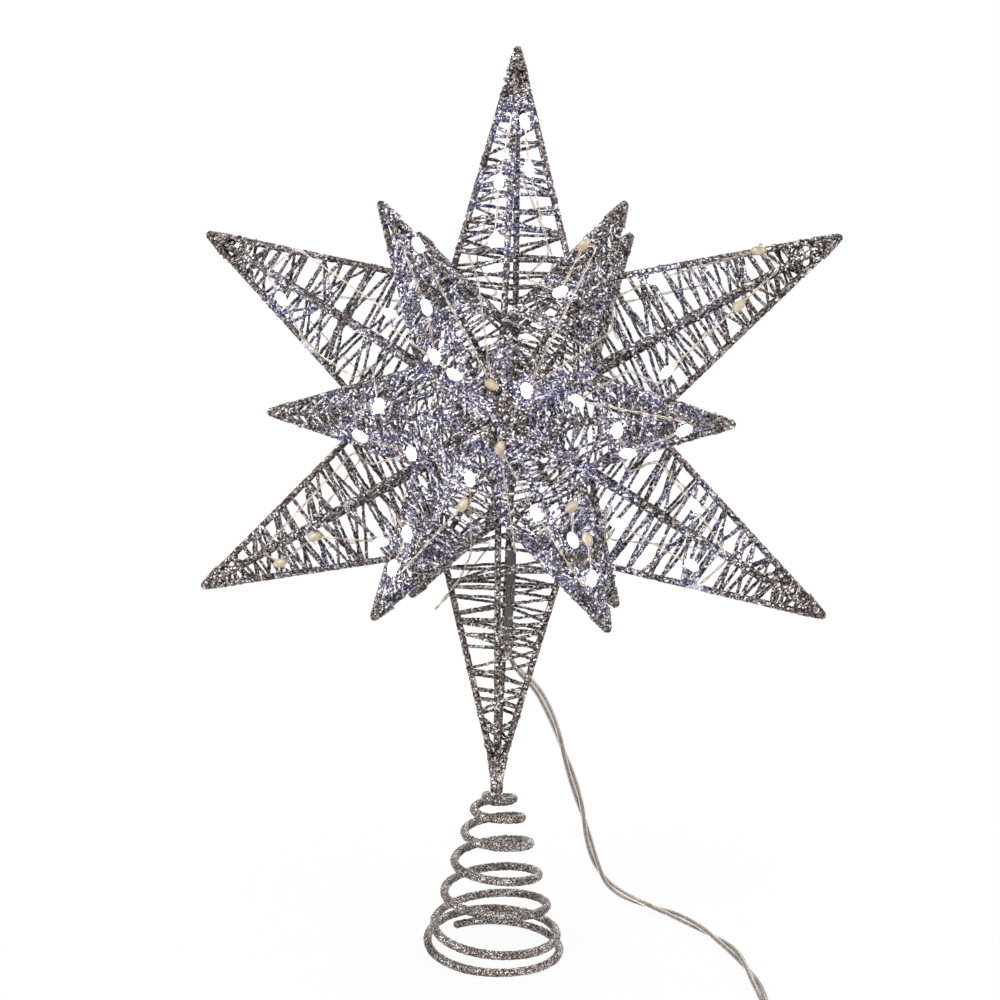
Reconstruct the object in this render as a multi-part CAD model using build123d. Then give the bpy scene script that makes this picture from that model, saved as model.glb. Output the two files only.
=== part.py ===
from build123d import *
import math
import os

import numpy as np

# Christmas tree topper: a wire-frame star wound with glittered thread, on a conical spring foot,
# with a string of micro LED drops and a battery box at the end of a short clear lead.
# Millimetres. +Z is up, the star faces -Y, and the origin is the middle of the spring foot,
# on the surface that it stands on. The points are named by their place on a clock face.

# Star frame
STAR_CENTRE_Z = 182.5       # height of the star's middle
BIG_TIP_R = 123.7           # middle of the star to the end of a large point
VALLEY_R = 50.0             # middle of the star to the corners beside the top and bottom points
SIDE_VALLEY_R = 47.0        # and to the corners at 3 and 9 o'clock
VALLEY_LEAN = 5.0           # degrees by which the first lie nearer the upright than halfway
RIB_RISE = 20.0             # how far the large ribs stand out at the middle of the star
SMALL_TIP_R = 76.0          # the lower small points' ends, measured along the face of the star
UPPER_TIP_R = 77.6          # the ends of those at 11 and 1 o'clock
SIDE_TIP_R = 74.3           # and of those at 9 and 3 o'clock
SMALL_TIP_DEPTH = 28.5      # and how far they stand out from its middle plane
SMALL_VALLEY_R = 31.0       # where the edges of two small points meet, on a large rib
WIRE_D = 2.2                # large points' wire, with its glitter
SMALL_WIRE_D = 2.0          # small points' wire
KNOT_R = 4.4                # across the flats of the twelve-sided centre knots, halved
KNOT_LIP = 0.7              # how far a knot stands past the ribs that end on it
WIRE_GAP = 0.5              # between neighbouring wires where a wound tip takes over
SEAT_GAP = 0.2              # between a small point's wires and the large wires they sit on
TIP_END_R = 1.2             # blunt end of a wound tip
TIP_SKIN = 0.3              # how far a wound tip stands past its wires

# Windings
THREAD_D = 1.0              # thread on the large points
SMALL_THREAD_D = 0.75       # thread on the small points
BIG_LOOPS = 14
WIND_EASE = 1.3             # how much wider the loops of a large point stand at its foot than at its tip
SMALL_LOOPS = 17
WEB_LOOPS = 9               # turns of the thread round the middle of the star
WEB_SPAN = (7.5, 27.5)      # the least and greatest radius of those turns
THREAD_CLEAR = 0.25         # between thread and wire
PART_REACH = 0.04           # the share of a point over which its loops stand apart for the lead
LEAD_GAP_AT = 0.54          # where they do so on the bottom point
LEAD_GAP = 0.05             # and by how much each way
FOOT_STEP = 4.5             # from a corner of the frame to the last loop of a large point
SMALL_WOUND_END = 0.93      # the share of a small point that is wound, from its tip to its foot

# Spring foot: turn (0 is at +X, counted downwards), radius and height of the wire's middle
SPRING_WIRE_D = 2.8
FOOT_FLAT = 0.5             # depth of the flat on the lowest turn
FOOT_Z = SPRING_WIRE_D / 2 - FOOT_FLAT
SPRING_TOP_Z = 53.6
SPRING_PROFILE = [
    (-0.55, 3.2, SPRING_TOP_Z),
    (0.0, 5.9, 52.4),
    (1.0, 9.0, 45.3),
    (2.0, 12.1, 36.5),
    (3.0, 15.3, 25.6),
    (4.0, 18.4, 15.0),
    (4.5, 20.2, 9.2),
    (4.75, 20.8, 6.2),
    (5.0, 22.3, 5.7),
    (5.25, 22.6, 5.2),
    (5.4, 22.7, 4.6),
    (5.5, 22.8, 3.2),
    (5.66, 21.2, FOOT_Z),
    (5.75, 19.0, FOOT_Z),
    (5.98, 24.4, FOOT_Z),
    (6.13, 22.4, FOOT_Z),
    (6.25, 20.8, FOOT_Z),
    (6.38, 21.4, FOOT_Z),
]
SPRING_LEAN = 0.75          # how far the turns between the ends rise at their middle, leaning to the front right
LEAN_TURNS = (0.0, 4.8)     # where the lean comes in and goes out, each over a little more than half a turn

# Stem
STEM_D = 4.3                # the bound wires between the bottom point and the spring
STEM_SEAT = 0.3             # between the stem's foot and the spring's top turn

# Light string
DROP_D = 3.2                # resin drop of one LED
DROP_L = 5.0
DROP_PROFILE = [(-0.5, 0.3), (-0.38, 0.68), (-0.16, 1.0), (0.16, 1.0), (0.38, 0.68), (0.5, 0.3)]
DROP_SIDES = 8
FINE_WIRE_D = 0.8           # two lacquered strands, side by side
FINE_EXIT = 3.0             # straight run of it out of the sleeve
LIE_CLEAR = 0.2             # between the thread and what lies on it
SLEEVE_D = 3.3              # shrink sleeve over the splice
SLEEVE_SPAN = (76.0, 44.0)  # its ends, measured from the middle of the star
SLEEVE_TURN = 35.0          # degrees round the rear rib that it lies along, from the inside towards the rim
SLEEVE_CLEAR = 0.15         # between the two
FINE_WAY_OUT = [(40.0, 5.5, 0.0), (40.5, 5.5, 17.0)]    # from the sleeve to the front, in star coordinates

# Lead, a clear twin-core cable. Its route after the sleeve is a list chosen by hand.
LEAD_D = 3.4
LEAD_EXIT = 4.0             # straight run out of the sleeve
LEAD_Z = LEAD_D / 2 + 0.1
LEAD_HANGING = [
    (3.6, 4.6, 98.9),
    (7.0, 5.6, 95.2),
    (10.6, 6.8, 91.7),
    (13.6, 8.2, 87.4),
    (17.8, 10.4, 78.6),
    (22.3, 13.6, 64.6),
    (25.2, 21.2, 53.0),
    (28.1, 29.0, 39.8),
    (30.2, 36.0, 27.6),
    (32.4, 41.0, 18.6),
    (35.2, 44.8, 11.6),
    (39.2, 47.0, 6.6),
    (45.2, 47.6, 3.2),
    (52.6, 45.3, LEAD_Z),
    (63.1, 38.5, LEAD_Z),
]
LEAD_LYING = [
    (77.4, 21.4, LEAD_Z),
    (84.8, 6.1, LEAD_Z),
    (88.9, -12.6, LEAD_Z),
    (91.0, -29.5, LEAD_Z),
    (93.8, -46.0, LEAD_Z),
    (98.6, -60.0, 2.8),
]

# Battery box for three AA cells, lying on its back, long side along X
CASE_AT = (72.0, -113.0)    # middle of the case on the table
CASE_WALL = 2.0
CASE_ROUND = 3.0
DIVIDER_T = 1.2             # wall between the cells and the switch bay
BAY_L = 9.0                 # inside of the switch bay, at the +X end
DECK_T = 1.8                # the deck over the bay, and the lid beside it
LID_SLOPE = 1.0             # how far the lid's dovetail edges lean
SLIDE_CLEAR = 0.25
RIDGES = 4                  # finger ridges on the lid
RIDGE = (1.2, 16.0, 0.6)
RIDGE_STEP = 2.6
CELL_D = 14.2
CELL_L = 49.2               # without its button
CELL_BUTTON_D = 5.4
CELL_BUTTON_L = 1.1
CELL_STEP = 14.8
CELL_LIFT = 0.15
CELL_HEAD = 1.0             # over and beside the cells
PLATE_T = 0.4
PLATE_W = 9.0
PLATE_H = 11.0
CONTACT_SPRING_L = 5.0
CONTACT_SPRING_WIRE = 0.7
CONTACT_SPRING_R = (4.2, 2.2)
CONTACT_SPRING_TURNS = 3
CONTACT_GAP = 0.2
CRADLE_T = 1.2              # ridges on the floor between the cells
CRADLE_H = 3.5
BOARD_T = 1.2
BOARD_W = 32.0
BOARD_Z = 9.0
BOARD_CLEAR = 0.3
POST_W = 3.0
SWITCH_L = 10.0
SWITCH_W = 6.0
KNOB_L = 4.2
KNOB_W = 4.0
KNOB_RISE = 1.8
KNOB_STEM = 2.0
SWITCH_TRAVEL = 4.0
GROMMET_D = 5.0
GROMMET_L = 8.0
GROMMET_FLANGE_D = 7.0
GROMMET_FLANGE_T = 1.2
GROMMET_FIT = 0.1
GROMMET_Z = 4.6

BIG_HOURS = {12: 90, 10: 150, 8: 210, 6: 270, 4: 330, 2: 30}
SMALL_HOURS = {11: 120, 9: 180, 7: 240, 5: 300, 3: 0, 1: 60}
HALF_STEP = 30              # degrees from a large point to the next valley


def unit(v):
    return v / np.linalg.norm(v)


def world(angle, local, face=1):
    """Star coordinates to the part's: u outwards at an angle, v along the rim, w out of the star's face."""
    a = math.radians(angle)
    u, v, w = local
    return np.array([u * math.cos(a) - v * math.sin(a), -face * w, STAR_CENTRE_Z + u * math.sin(a) + v * math.cos(a)])


def rod(start, end, diameter):
    return Solid.make_cylinder(diameter / 2, float(np.linalg.norm(end - start)), Plane(tuple(start), z_dir=tuple(end - start)))


def trim(solid, at, towards):
    """The piece of a solid on one side of a plane through a point; towards is the plane's normal."""
    return solid.split(Plane(tuple(at), z_dir=tuple(towards)), keep=Keep.TOP)


def faceted_tube(path, radius, sides=3):
    """One unbroken tube of flat facets along a path: the profile slides along each run to the mitre plane at its end."""
    path = np.asarray(path)
    run = np.diff(path, axis=0)
    run /= np.linalg.norm(run, axis=1)[:, None]
    mitre = np.vstack([run[:1], run[:-1] + run[1:], run[-1:]])
    across = unit(np.cross(run[0], (0.31, 0.87, 0.38)))
    other = np.cross(run[0], across)
    turn = 2 * math.pi * np.arange(sides) / sides
    ring = path[0] + radius * (np.cos(turn)[:, None] * across + np.sin(turn)[:, None] * other)
    rings = [ring]
    for i, along in enumerate(run):
        slide = ((path[i + 1] - ring) @ mitre[i + 1]) / (along @ mitre[i + 1])
        ring = ring + slide[:, None] * along
        rings.append(ring)
    corners = [[Vector(*p) for p in r] for r in rings]
    faces = [Face(Wire.make_polygon(corners[0])), Face(Wire.make_polygon(corners[-1]))]
    for a, b in zip(corners, corners[1:]):
        for k in range(sides):
            n = (k + 1) % sides
            faces.append(Face(Wire.make_polygon([a[k], a[n], b[n], b[k]])))
    return Solid(Shell(faces))


def self_gap(path, diameter, apart):
    """The least gap between stretches of a tube that lie at least a given length apart along it."""
    path = np.asarray(path)
    length = np.concatenate([[0], np.cumsum(np.linalg.norm(np.diff(path, axis=0), axis=1))])
    at = np.linspace(0, length[-1], int(length[-1] / (diameter / 2)) + 2)
    points = np.stack([np.interp(at, length, path[:, k]) for k in range(3)], 1)
    away = np.linalg.norm(points[:, None] - points[None], axis=2)
    away[np.abs(at[:, None] - at[None]) < apart] = np.inf
    return float(away.min()) - diameter


class Point:
    """One pointed arm of the star: four straight wires that meet at its tip, in order round it.

    feet are the ends of the wires' middle lines, and rungs the places on them where the last rung of the winding
    crosses; both are given in star coordinates, front wire first."""

    def __init__(self, angle, face, tip, feet, rungs, wire_d, thread_d):
        self.angle = angle
        self.face = face
        self.tip = world(angle, tip, face)
        self.feet = [world(angle, p, face) for p in feet]
        self.rungs = [world(angle, p, face) for p in rungs]
        self.wire_d = wire_d
        self.thread_r = 0.6 * thread_d
        self.thread_off = wire_d / 2 + THREAD_CLEAR + self.thread_r
        self.axis = unit(self.tip - sum(self.feet) / 4)

    def wire_at(self, k, t):
        return self.tip + t * (self.rungs[k % 4] - self.tip)

    def side_normal(self, k):
        """The outward normal of the side between wire k and the next."""
        normal = unit(np.cross(self.rungs[k % 4] - self.tip, self.rungs[(k + 1) % 4] - self.tip))
        inner = self.wire_at(k + 2, 1) + self.wire_at(k + 3, 1) - self.wire_at(k, 1) - self.wire_at(k + 1, 1)
        return normal if normal @ inner < 0 else -normal

    def height(self, radius):
        """How far the middle of a thing of that radius stands off the wires' plane when it lies on the winding."""
        return self.thread_off + self.thread_r + LIE_CLEAR + radius

    def on_side(self, k, t, across, radius):
        """A place over the side between wire k and the next, a share across it."""
        flat = self.wire_at(k, t) + across * (self.wire_at(k + 1, t) - self.wire_at(k, t))
        return flat + self.height(radius) * self.side_normal(k)

    def over_wire(self, k, t, radius):
        """A place over wire k where the two sides beside it meet."""
        before, after = self.side_normal(k - 1), self.side_normal(k)
        out = unit(before + after)
        return self.wire_at(k, t) + out * self.height(radius) / (out @ after)

    def winding_path(self, loops, start, end, ease=1.0, part_at=0.0, part_by=0.0):
        """Two corners at each wire, so that the thread goes round it in three flat turns.

        An ease over 1 sets the loops closer at the tip. The loops stand apart round a place, a share from the tip."""
        stations = np.arange(4 * loops + 3)
        turned = np.clip((stations - 1) / (4 * loops), 0, None)
        share = start + (end - start) * turned ** ease
        share += part_by * np.tanh((share - part_at) / PART_REACH) * np.exp(-((share - part_at) / (3 * PART_REACH)) ** 2)
        centres = np.array([self.wire_at(k, t) for k, t in zip(stations, share)])
        path = []
        for k, before, here, after in zip(stations[1:], centres, centres[1:], centres[2:]):
            arrive, leave = unit(here - before), unit(after - here)
            out, on = unit(arrive - leave), unit(arrive + leave)
            quarter = math.acos(float(np.clip(arrive @ leave, -1, 1))) / 4
            lean = abs(unit(np.cross(arrive, leave)) @ unit(self.rungs[k % 4] - self.tip))
            off = self.thread_off + self.wire_d / 2 * (1 / lean - 1)
            for side in (-1, 1):
                path.append(here + off * (out + side * math.tan(quarter) * on))
        return np.array(path)


def valley(halfway):
    """The corner between two large points: its angle and its distance from the middle of the star."""
    lean = {0: 0, 60: 1, 120: -1}[halfway % 180]
    return halfway + lean * VALLEY_LEAN, VALLEY_R if lean else SIDE_VALLEY_R


def valley_from(angle, halfway):
    """A corner of the frame, outwards and along the rim as seen from a point at an angle."""
    at, radius = valley(halfway)
    turn = math.radians(at - angle)
    return radius * math.cos(turn), radius * math.sin(turn)


def last_loop_u(angle):
    """How far from the middle of the star the winding of a large point ends."""
    return max(valley_from(angle, angle + side * HALF_STEP)[0] for side in (-1, 1)) + FOOT_STEP


def big_point(angle):
    corners = [valley_from(angle, angle + side * HALF_STEP) for side in (1, -1)]
    end = last_loop_u(angle)
    rise = RIB_RISE * (1 - end / BIG_TIP_R)
    rims = [v * (BIG_TIP_R - end) / (BIG_TIP_R - u) for u, v in corners]
    rungs = [(end, 0, rise), (end, rims[0], 0), (end, 0, -rise), (end, rims[1], 0)]
    knot_rise = RIB_RISE * (1 - KNOT_R / BIG_TIP_R)
    feet = [(KNOT_R, 0, knot_rise), (*corners[0], 0), (KNOT_R, 0, -knot_rise), (*corners[1], 0)]
    return Point(angle, 1, (BIG_TIP_R, 0, 0), feet, rungs, WIRE_D, THREAD_D)


SMALL_RIB_RISE = RIB_RISE + (WIRE_D + SMALL_WIRE_D) / 2 + SEAT_GAP * 2
UNDER_FOOT_W = WIRE_D / 2 + SEAT_GAP


def small_tip_r(angle):
    """How far a small point reaches, by whether it is above, beside or below the middle of the star."""
    rise = math.sin(math.radians(angle))
    return SIDE_TIP_R if abs(rise) < 0.5 else UPPER_TIP_R if rise > 0 else SMALL_TIP_R


def small_point(angle, face):
    reach_r = small_tip_r(angle)
    tilt = math.atan2(RIB_RISE, BIG_TIP_R)
    seat = (WIRE_D / 2 + SMALL_WIRE_D / 2 + SEAT_GAP) / math.cos(tilt)
    side_w = RIB_RISE * (1 - SMALL_VALLEY_R / BIG_TIP_R) + seat
    side_u = SMALL_VALLEY_R * math.cos(math.radians(HALF_STEP))
    side_v = SMALL_VALLEY_R * math.sin(math.radians(HALF_STEP))
    tip = np.array([reach_r, 0, SMALL_TIP_DEPTH])
    rib_foot = np.array([KNOT_R, 0, SMALL_RIB_RISE + (SMALL_TIP_DEPTH - SMALL_RIB_RISE) * KNOT_R / reach_r])
    under_foot = np.array([*valley_from(angle, angle), UNDER_FOOT_W])
    feet = [rib_foot, (side_u, side_v, side_w), under_foot, (side_u, -side_v, side_w)]
    reach = (reach_r - side_u) / (reach_r - KNOT_R)
    rungs = [tip + reach * (rib_foot - tip), *feet[1:]]
    return Point(angle, face, tip, feet, rungs, SMALL_WIRE_D, SMALL_THREAD_D)


BIG = {hour: big_point(angle) for hour, angle in BIG_HOURS.items()}
FRONT = {hour: small_point(angle, 1) for hour, angle in SMALL_HOURS.items()}
REAR = {hour: small_point(angle, -1) for hour, angle in SMALL_HOURS.items()}
BIG_TIP_L = (WIRE_D + WIRE_GAP) / 2 * BIG_TIP_R / RIB_RISE


def small_tip_length(point):
    """How far from the tip the rib and an edge are a wire and a gap apart."""
    rib, edge = (unit(point.rungs[k] - point.tip) for k in (0, 1))
    spread = np.linalg.norm(rib / (rib @ point.axis) - edge / (edge @ point.axis))
    return (SMALL_WIRE_D + WIRE_GAP) / spread


def wound_from(point, tip_length):
    """The share of a point, from its tip, at which its first loop clears the wound tip on every wire."""
    reach = min(float((point.tip - p) @ point.axis) for p in point.rungs)
    return (tip_length + point.wire_d / 2 + point.thread_r) / reach


def point_frame(point, tip_length, foot_cuts):
    """The four wires of a point, cut flat under its wound tip and where they meet other wires."""
    wires = []
    cut = point.tip - tip_length * point.axis
    for foot, (at, towards) in zip(point.feet, foot_cuts):
        along = unit(foot - point.tip)
        wire = rod(point.tip, foot + 4 * point.wire_d * along, point.wire_d)
        wire = trim(wire, cut, -point.axis)
        wires.append(trim(wire, at, towards))
    return Compound(children=wires)


def knot_cut(point):
    out = world(point.angle, (1, 0, 0)) - world(point.angle, (0, 0, 0))
    return world(point.angle, (KNOT_R, 0, 0)), out


def mitre_cut(angle, side):
    """The plane through the star's middle, at an angle, where the edges of two neighbouring points meet."""
    return world(angle, (0, 0, 0)), world(angle, (0, -side, 0)) - world(angle, (0, 0, 0))


def big_frame(point):
    after, before = (mitre_cut(valley(point.angle + side * HALF_STEP)[0], side) for side in (1, -1))
    return point_frame(point, BIG_TIP_L, [knot_cut(point), after, knot_cut(point), before])


def small_frame(point):
    under = world(point.angle, (0, 0, UNDER_FOOT_W), point.face), np.array([0.0, -point.face, 0.0])
    after, before = (mitre_cut(point.angle + side * HALF_STEP, side) for side in (1, -1))
    return point_frame(point, small_tip_length(point), [knot_cut(point), after, under, before])


def centre_web(face):
    """One thread spiralling round the middle of the star, over each small rib and along each large one."""
    path = []
    steps = 12 * WEB_LOOPS
    for k in range(steps + 1):
        radius = WEB_SPAN[0] + (WEB_SPAN[1] - WEB_SPAN[0]) * k / steps
        angle = 30 * k
        thread_r = 0.6 * SMALL_THREAD_D
        if k % 2:
            rib = RIB_RISE * (1 - radius / BIG_TIP_R)
            path.append(world(angle, (radius, 0, rib + WIRE_D / 2 + THREAD_CLEAR + thread_r), face))
        else:
            rib = SMALL_RIB_RISE + (SMALL_TIP_DEPTH - SMALL_RIB_RISE) * radius / SMALL_TIP_R
            off = SMALL_WIRE_D / 2 + THREAD_CLEAR + thread_r
            for side in (-1, 1):
                path.append(world(angle, (radius, side * off / 2, rib + off), face))
    return np.array(path)


def tip_base(point, length):
    """The plane under a wound tip, with its half width along the rim and its reach out of and into the star."""
    cut = point.tip - length * point.axis
    rim = unit(world(point.angle, (0, 1, 0)) - world(point.angle, (0, 0, 0)))
    plane = Plane(tuple(cut), x_dir=tuple(rim), z_dir=tuple(point.axis))
    ends = []
    for k in range(4):
        along = unit(point.rungs[k] - point.tip)
        ends.append(point.tip + along * (-length / (along @ point.axis)) - cut)
    rise = np.array(tuple(plane.y_dir))
    cover = point.wire_d / 2 + TIP_SKIN
    wide = max(float(abs(e @ rim)) for e in ends) + cover
    high, low = (f(float(e @ rise) for e in ends) for f in (max, min))
    return plane, wide, high + cover, low - cover


def wound_tip(point, length):
    plane, wide, high, low = tip_base(point, length)
    base = plane * Pos(0, (high + low) / 2) * Ellipse(wide, (high - low) / 2)
    end = plane.offset(length) * Circle(TIP_END_R)
    tip = loft([base.face(), end.face()], ruled=True)
    return fillet(tip.edges().sort_by(Axis(tuple(point.tip), tuple(point.axis)))[-1], 0.7 * TIP_END_R).solid()


def stem():
    """The wires of the bottom point, bound together: a taper from the four wires to a round neck over the spring."""
    point = BIG[6]
    plane, wide, high, low = tip_base(point, BIG_TIP_L)
    base = plane * Ellipse(wide, (high - low) / 2)
    neck_length = STAR_CENTRE_Z - BIG_TIP_R - (SPRING_TOP_Z + SPRING_WIRE_D / 2 + STEM_SEAT)
    neck = plane.offset(BIG_TIP_L) * Circle(STEM_D / 2)
    taper = loft([base.face(), neck.face()], ruled=True)
    return (taper + extrude(neck, neck_length)).solid()


def knot(face):
    """A soldered centre knot with a flat for each of the twelve ribs."""
    low = RIB_RISE - WIRE_D / 2 - KNOT_LIP
    high = SMALL_RIB_RISE + SMALL_WIRE_D / 2 + KNOT_LIP
    plane = Plane(tuple(world(0, (0, 0, low), face)), x_dir=(1, 0, 0), z_dir=(0, -face, 0))
    outline = RegularPolygon(KNOT_R, 12, major_radius=False, rotation=15)
    body = extrude(plane * outline, high - low)
    rim = body.faces().sort_by(Axis((0, 0, 0), (0, -face, 0)))[-1].edges()
    return chamfer(rim, KNOT_LIP * 0.8).solid()


def biarc(start, start_dir, end, end_dir):
    """Two arcs that leave one point and reach another along given directions."""
    reach, both = end - start, start_dir + end_dir
    bend = 2 * (1 - start_dir @ end_dir)
    if bend < 1e-9:
        length = reach @ reach / (2 * reach @ both)
    else:
        length = (-(reach @ both) + math.sqrt((reach @ both) ** 2 + bend * (reach @ reach))) / bend
    middle = (start + end + length * (start_dir - end_dir)) / 2
    middle_dir = unit(end - length * end_dir - start - length * start_dir)
    first = Edge.make_tangent_arc(Vector(*start), Vector(*start_dir), Vector(*middle))
    return [first, Edge.make_tangent_arc(Vector(*middle), Vector(*middle_dir), Vector(*end))]


def lean_at(turn):
    """How much of the spring's lean a place on its wire takes: none on the seat of the stem and on the lowest turn."""
    return float(np.clip((turn - LEAN_TURNS[0]) / 0.5 + 0.5, 0, 1) * np.clip((LEAN_TURNS[1] - turn) / 0.6 + 0.5, 0, 1))


def coil(profile, wire_d, place, lean=0.0):
    """A round wire on a spiral whose radius and height follow a profile over its turns, in biarcs of an eighth turn."""
    turns, radii, heights = (np.array(c, float) for c in zip(*profile))
    steps = int(round((turns[-1] - turns[0]) * 8))
    at = np.linspace(turns[0], turns[-1], steps + 1)
    blur = np.linspace(-0.12, 0.12, 9)

    def middle(turn):
        near = np.clip(turn + blur, turns[0], turns[-1])
        radius, height = (float(np.mean(np.interp(near, turns, c))) for c in (radii, heights))
        angle = 2 * math.pi * turn
        height += lean * lean_at(turn) * (1 + math.cos(angle + math.pi / 4))
        return np.array([radius * math.cos(angle), radius * math.sin(angle), height])

    spots = [middle(t) for t in at]
    ways = [unit(middle(t + 0.01) - middle(t - 0.01)) for t in at]
    edges = []
    for k in range(steps):
        edges += biarc(spots[k], ways[k], spots[k + 1], ways[k + 1])
    section = Plane(tuple(spots[0]), z_dir=tuple(ways[0])) * Circle(wire_d / 2)
    fine = np.array([middle(t) for t in np.linspace(turns[0], turns[-1], 12 * steps)])
    gap = self_gap(fine, wire_d, 4 * wire_d)
    return place * sweep(section, path=Wire(edges)).solid(), gap


def spring_foot():
    """The conical spring, with a flat ground on its lowest turn so that it stands."""
    wire, gap = coil(SPRING_PROFILE, SPRING_WIRE_D, Location(), SPRING_LEAN)
    print(f"spring foot: least gap to itself {gap:.2f} mm")
    return trim(wire, np.zeros(3), (0, 0, 1))


def resin_drop(at, along):
    """A drop of flat facets; its profile gives heights and radii as shares of its length and half its diameter."""
    plane = Plane(tuple(at), z_dir=tuple(along))
    rings = [plane.offset(h * DROP_L) * RegularPolygon(r * DROP_D / 2, DROP_SIDES) for h, r in DROP_PROFILE]
    return loft([ring.face() for ring in rings], ruled=True).solid()


CCW, CW = 1, -1
BASE_STATION = (0.95, 0.6)  # where the fine wire comes onto and leaves a large point: along and across its side
EDGE_STATION = 0.72         # where it goes over the edge of a small point

# Drops on the front: for each point and side, the place along the side, from the tip, the share across it,
# from the rib, and whether the drop is lit
FRONT_DROPS = {
    "5": {CCW: [(0.35, 0.31, True), (0.58, 0.66, False), (0.62, 0.2, True), (0.81, 0.5, False)],
          CW: [(0.88, 0.08, True), (1.36, 0.08, False)]},
    "4": {CCW: [(0.72, 0.42, True)], CW: [(0.53, 0.84, True), (0.6, 0.38, True), (0.95, 0.28, True)]},
    "3": {CCW: [(1.02, 0.28, True)], CW: [(0.32, 0.14, True), (0.68, 0.78, True), (0.75, 0.1, True)]},
    "2": {CCW: [(0.34, 0.72, False), (0.76, 0.7, True)], CW: [(0.52, 0.2, False), (0.9, 0.5, True)]},
    "1": {CCW: [(0.35, 0.44, False), (0.66, 0.12, True)], CW: [(1.28, 0.1, True)]},
    "12": {CCW: [(0.64, 0.1, True), (0.9, 0.1, True)], CW: [(0.37, 0.24, True), (0.58, 0.33, True)]},
    "11": {CCW: [(0.72, 0.08, True), (1.0, 0.42, True), (1.16, 0.2, True)],
           CW: [(0.36, 0.5, True), (1.33, 0.1, False)]},
    "10": {CCW: [(0.49, 0.28, True), (0.69, 0.8, True)], CW: [(0.42, 0.9, True), (0.95, 0.32, True)]},
    "9": {CCW: [(0.64, 0.54, True), (0.98, 0.68, True)], CW: [(0.77, 0.1, True)]},
    "8": {CCW: [(0.42, 0.39, False), (0.63, 0.15, False), (0.87, 0.62, True)], CW: []},
    "7": {CCW: [(0.95, 0.26, False), (1.12, 0.08, True)], CW: [(0.37, 0.2, True), (0.6, 0.34, True)]},
    "6": {CCW: [], CW: []},
}
REAR_SIDE_DROPS = {"big": [(0.55, 0.4, True)], "small": [(0.5, 0.3, True)]}


def place_on_face(point, rib, side, along, across, radius):
    """A place over a side of a point, measured across from the rib: wire 0 in front, wire 2 behind."""
    wire = {(0, CCW): 0, (0, CW): 3, (2, CCW): 1, (2, CW): 2}[rib, side]
    return point.on_side(wire, along, across if wire in (0, 2) else 1 - across, radius)


def stretch_on_point(point, rib, sides, drops):
    """The fine wire's way over a point: out along one side, over its rib and back along the other."""
    small = point in FRONT.values() or point in REAR.values()
    outermost = min([along for side in sides for along, _, _ in drops[side]], default=0.5)
    stops = []
    for way, side in enumerate(sides):
        run = sorted(drops[side], reverse=(way == 0))
        spots = [(place_on_face(point, rib, side, a, q, DROP_D / 2), lit) for a, q, lit in run]
        edge = 1 if side == CCW else 3
        if small:
            end = point.over_wire(edge, EDGE_STATION, DROP_D / 2)
        else:
            end = place_on_face(point, rib, side, *BASE_STATION, DROP_D / 2)
        top = point.over_wire(rib, outermost - 0.04, DROP_D / 2)
        stops += [(end, None), *spots, (top, None)] if way == 0 else [*spots, (end, None)]
    return stops


def light_string():
    """The fine wire's stops from the sleeve round the front and back round the rear: place, and lit, unlit or no drop."""
    exit_way = unit(SLEEVE_ENDS[1] - SLEEVE_ENDS[0])
    stops = [(SLEEVE_ENDS[1], None), (SLEEVE_ENDS[1] + FINE_EXIT * exit_way, None)]
    stops += [(world(BIG_HOURS[6], p), None) for p in FINE_WAY_OUT]
    ring = ["5", "4", "3", "2", "1", "12", "11", "10", "9", "8", "7"]
    for hour in ring:
        point = FRONT.get(int(hour)) or BIG[int(hour)]
        stops += stretch_on_point(point, 0, (CW, CCW), FRONT_DROPS[hour])
    foot = BIG[6]
    stops.append((place_on_face(foot, 0, CW, *BASE_STATION, DROP_D / 2), None))
    stops.append((foot.over_wire(3, 0.8, DROP_D / 2), None))
    stops.append((place_on_face(foot, 2, CW, *BASE_STATION, DROP_D / 2), None))
    for hour in reversed(ring):
        small = int(hour) in REAR
        point = REAR[int(hour)] if small else BIG[int(hour)]
        drops = {CCW: REAR_SIDE_DROPS["small" if small else "big"], CW: []}
        stops += stretch_on_point(point, 0 if small else 2, (CCW, CW), drops)
    return stops


def sleeve_end(radius):
    """The middle of the shrink sleeve at a distance from the star's middle, inside the bottom point along its rear rib."""
    point = BIG[6]
    along = (BIG_TIP_R - radius) / (BIG_TIP_R - last_loop_u(point.angle))
    rim = world(point.angle, (0, 1, 0)) - world(point.angle, (0, 0, 0))
    inside = unit(np.cross(rim, point.rungs[2] - point.tip))
    turn = math.radians(SLEEVE_TURN)
    off = WIRE_D / 2 + SLEEVE_CLEAR + SLEEVE_D / 2
    return point.wire_at(2, along) + off * (math.cos(turn) * inside + math.sin(turn) * rim)


SLEEVE_ENDS = [sleeve_end(r) for r in SLEEVE_SPAN]


def lead_tube(name, points):
    """A tube of straight runs and tangent arcs, each arc as large as its runs allow."""
    points = np.array(points, float)
    runs = np.diff(points, axis=0)
    lengths = np.linalg.norm(runs, axis=1)
    ways = runs / lengths[:, None]
    turns = np.arccos(np.clip(np.sum(ways[:-1] * ways[1:], axis=1), -1, 1))
    radii = 0.45 * np.minimum(lengths[:-1], lengths[1:]) / np.tan(turns / 2)
    path = FilletPolyline(*[tuple(p) for p in points], radius=[float(r) for r in radii])
    tube = sweep(Plane(tuple(points[0]), z_dir=tuple(ways[0])) * Circle(LEAD_D / 2), path=path.wire()).solid()
    share = tube.volume / (math.pi * LEAD_D ** 2 / 4 * path.length)
    print(f"{name}: {path.length:.0f} mm long, radii {np.round(radii).astype(int).tolist()}, volume share {share:.3f}")
    return tube


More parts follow.
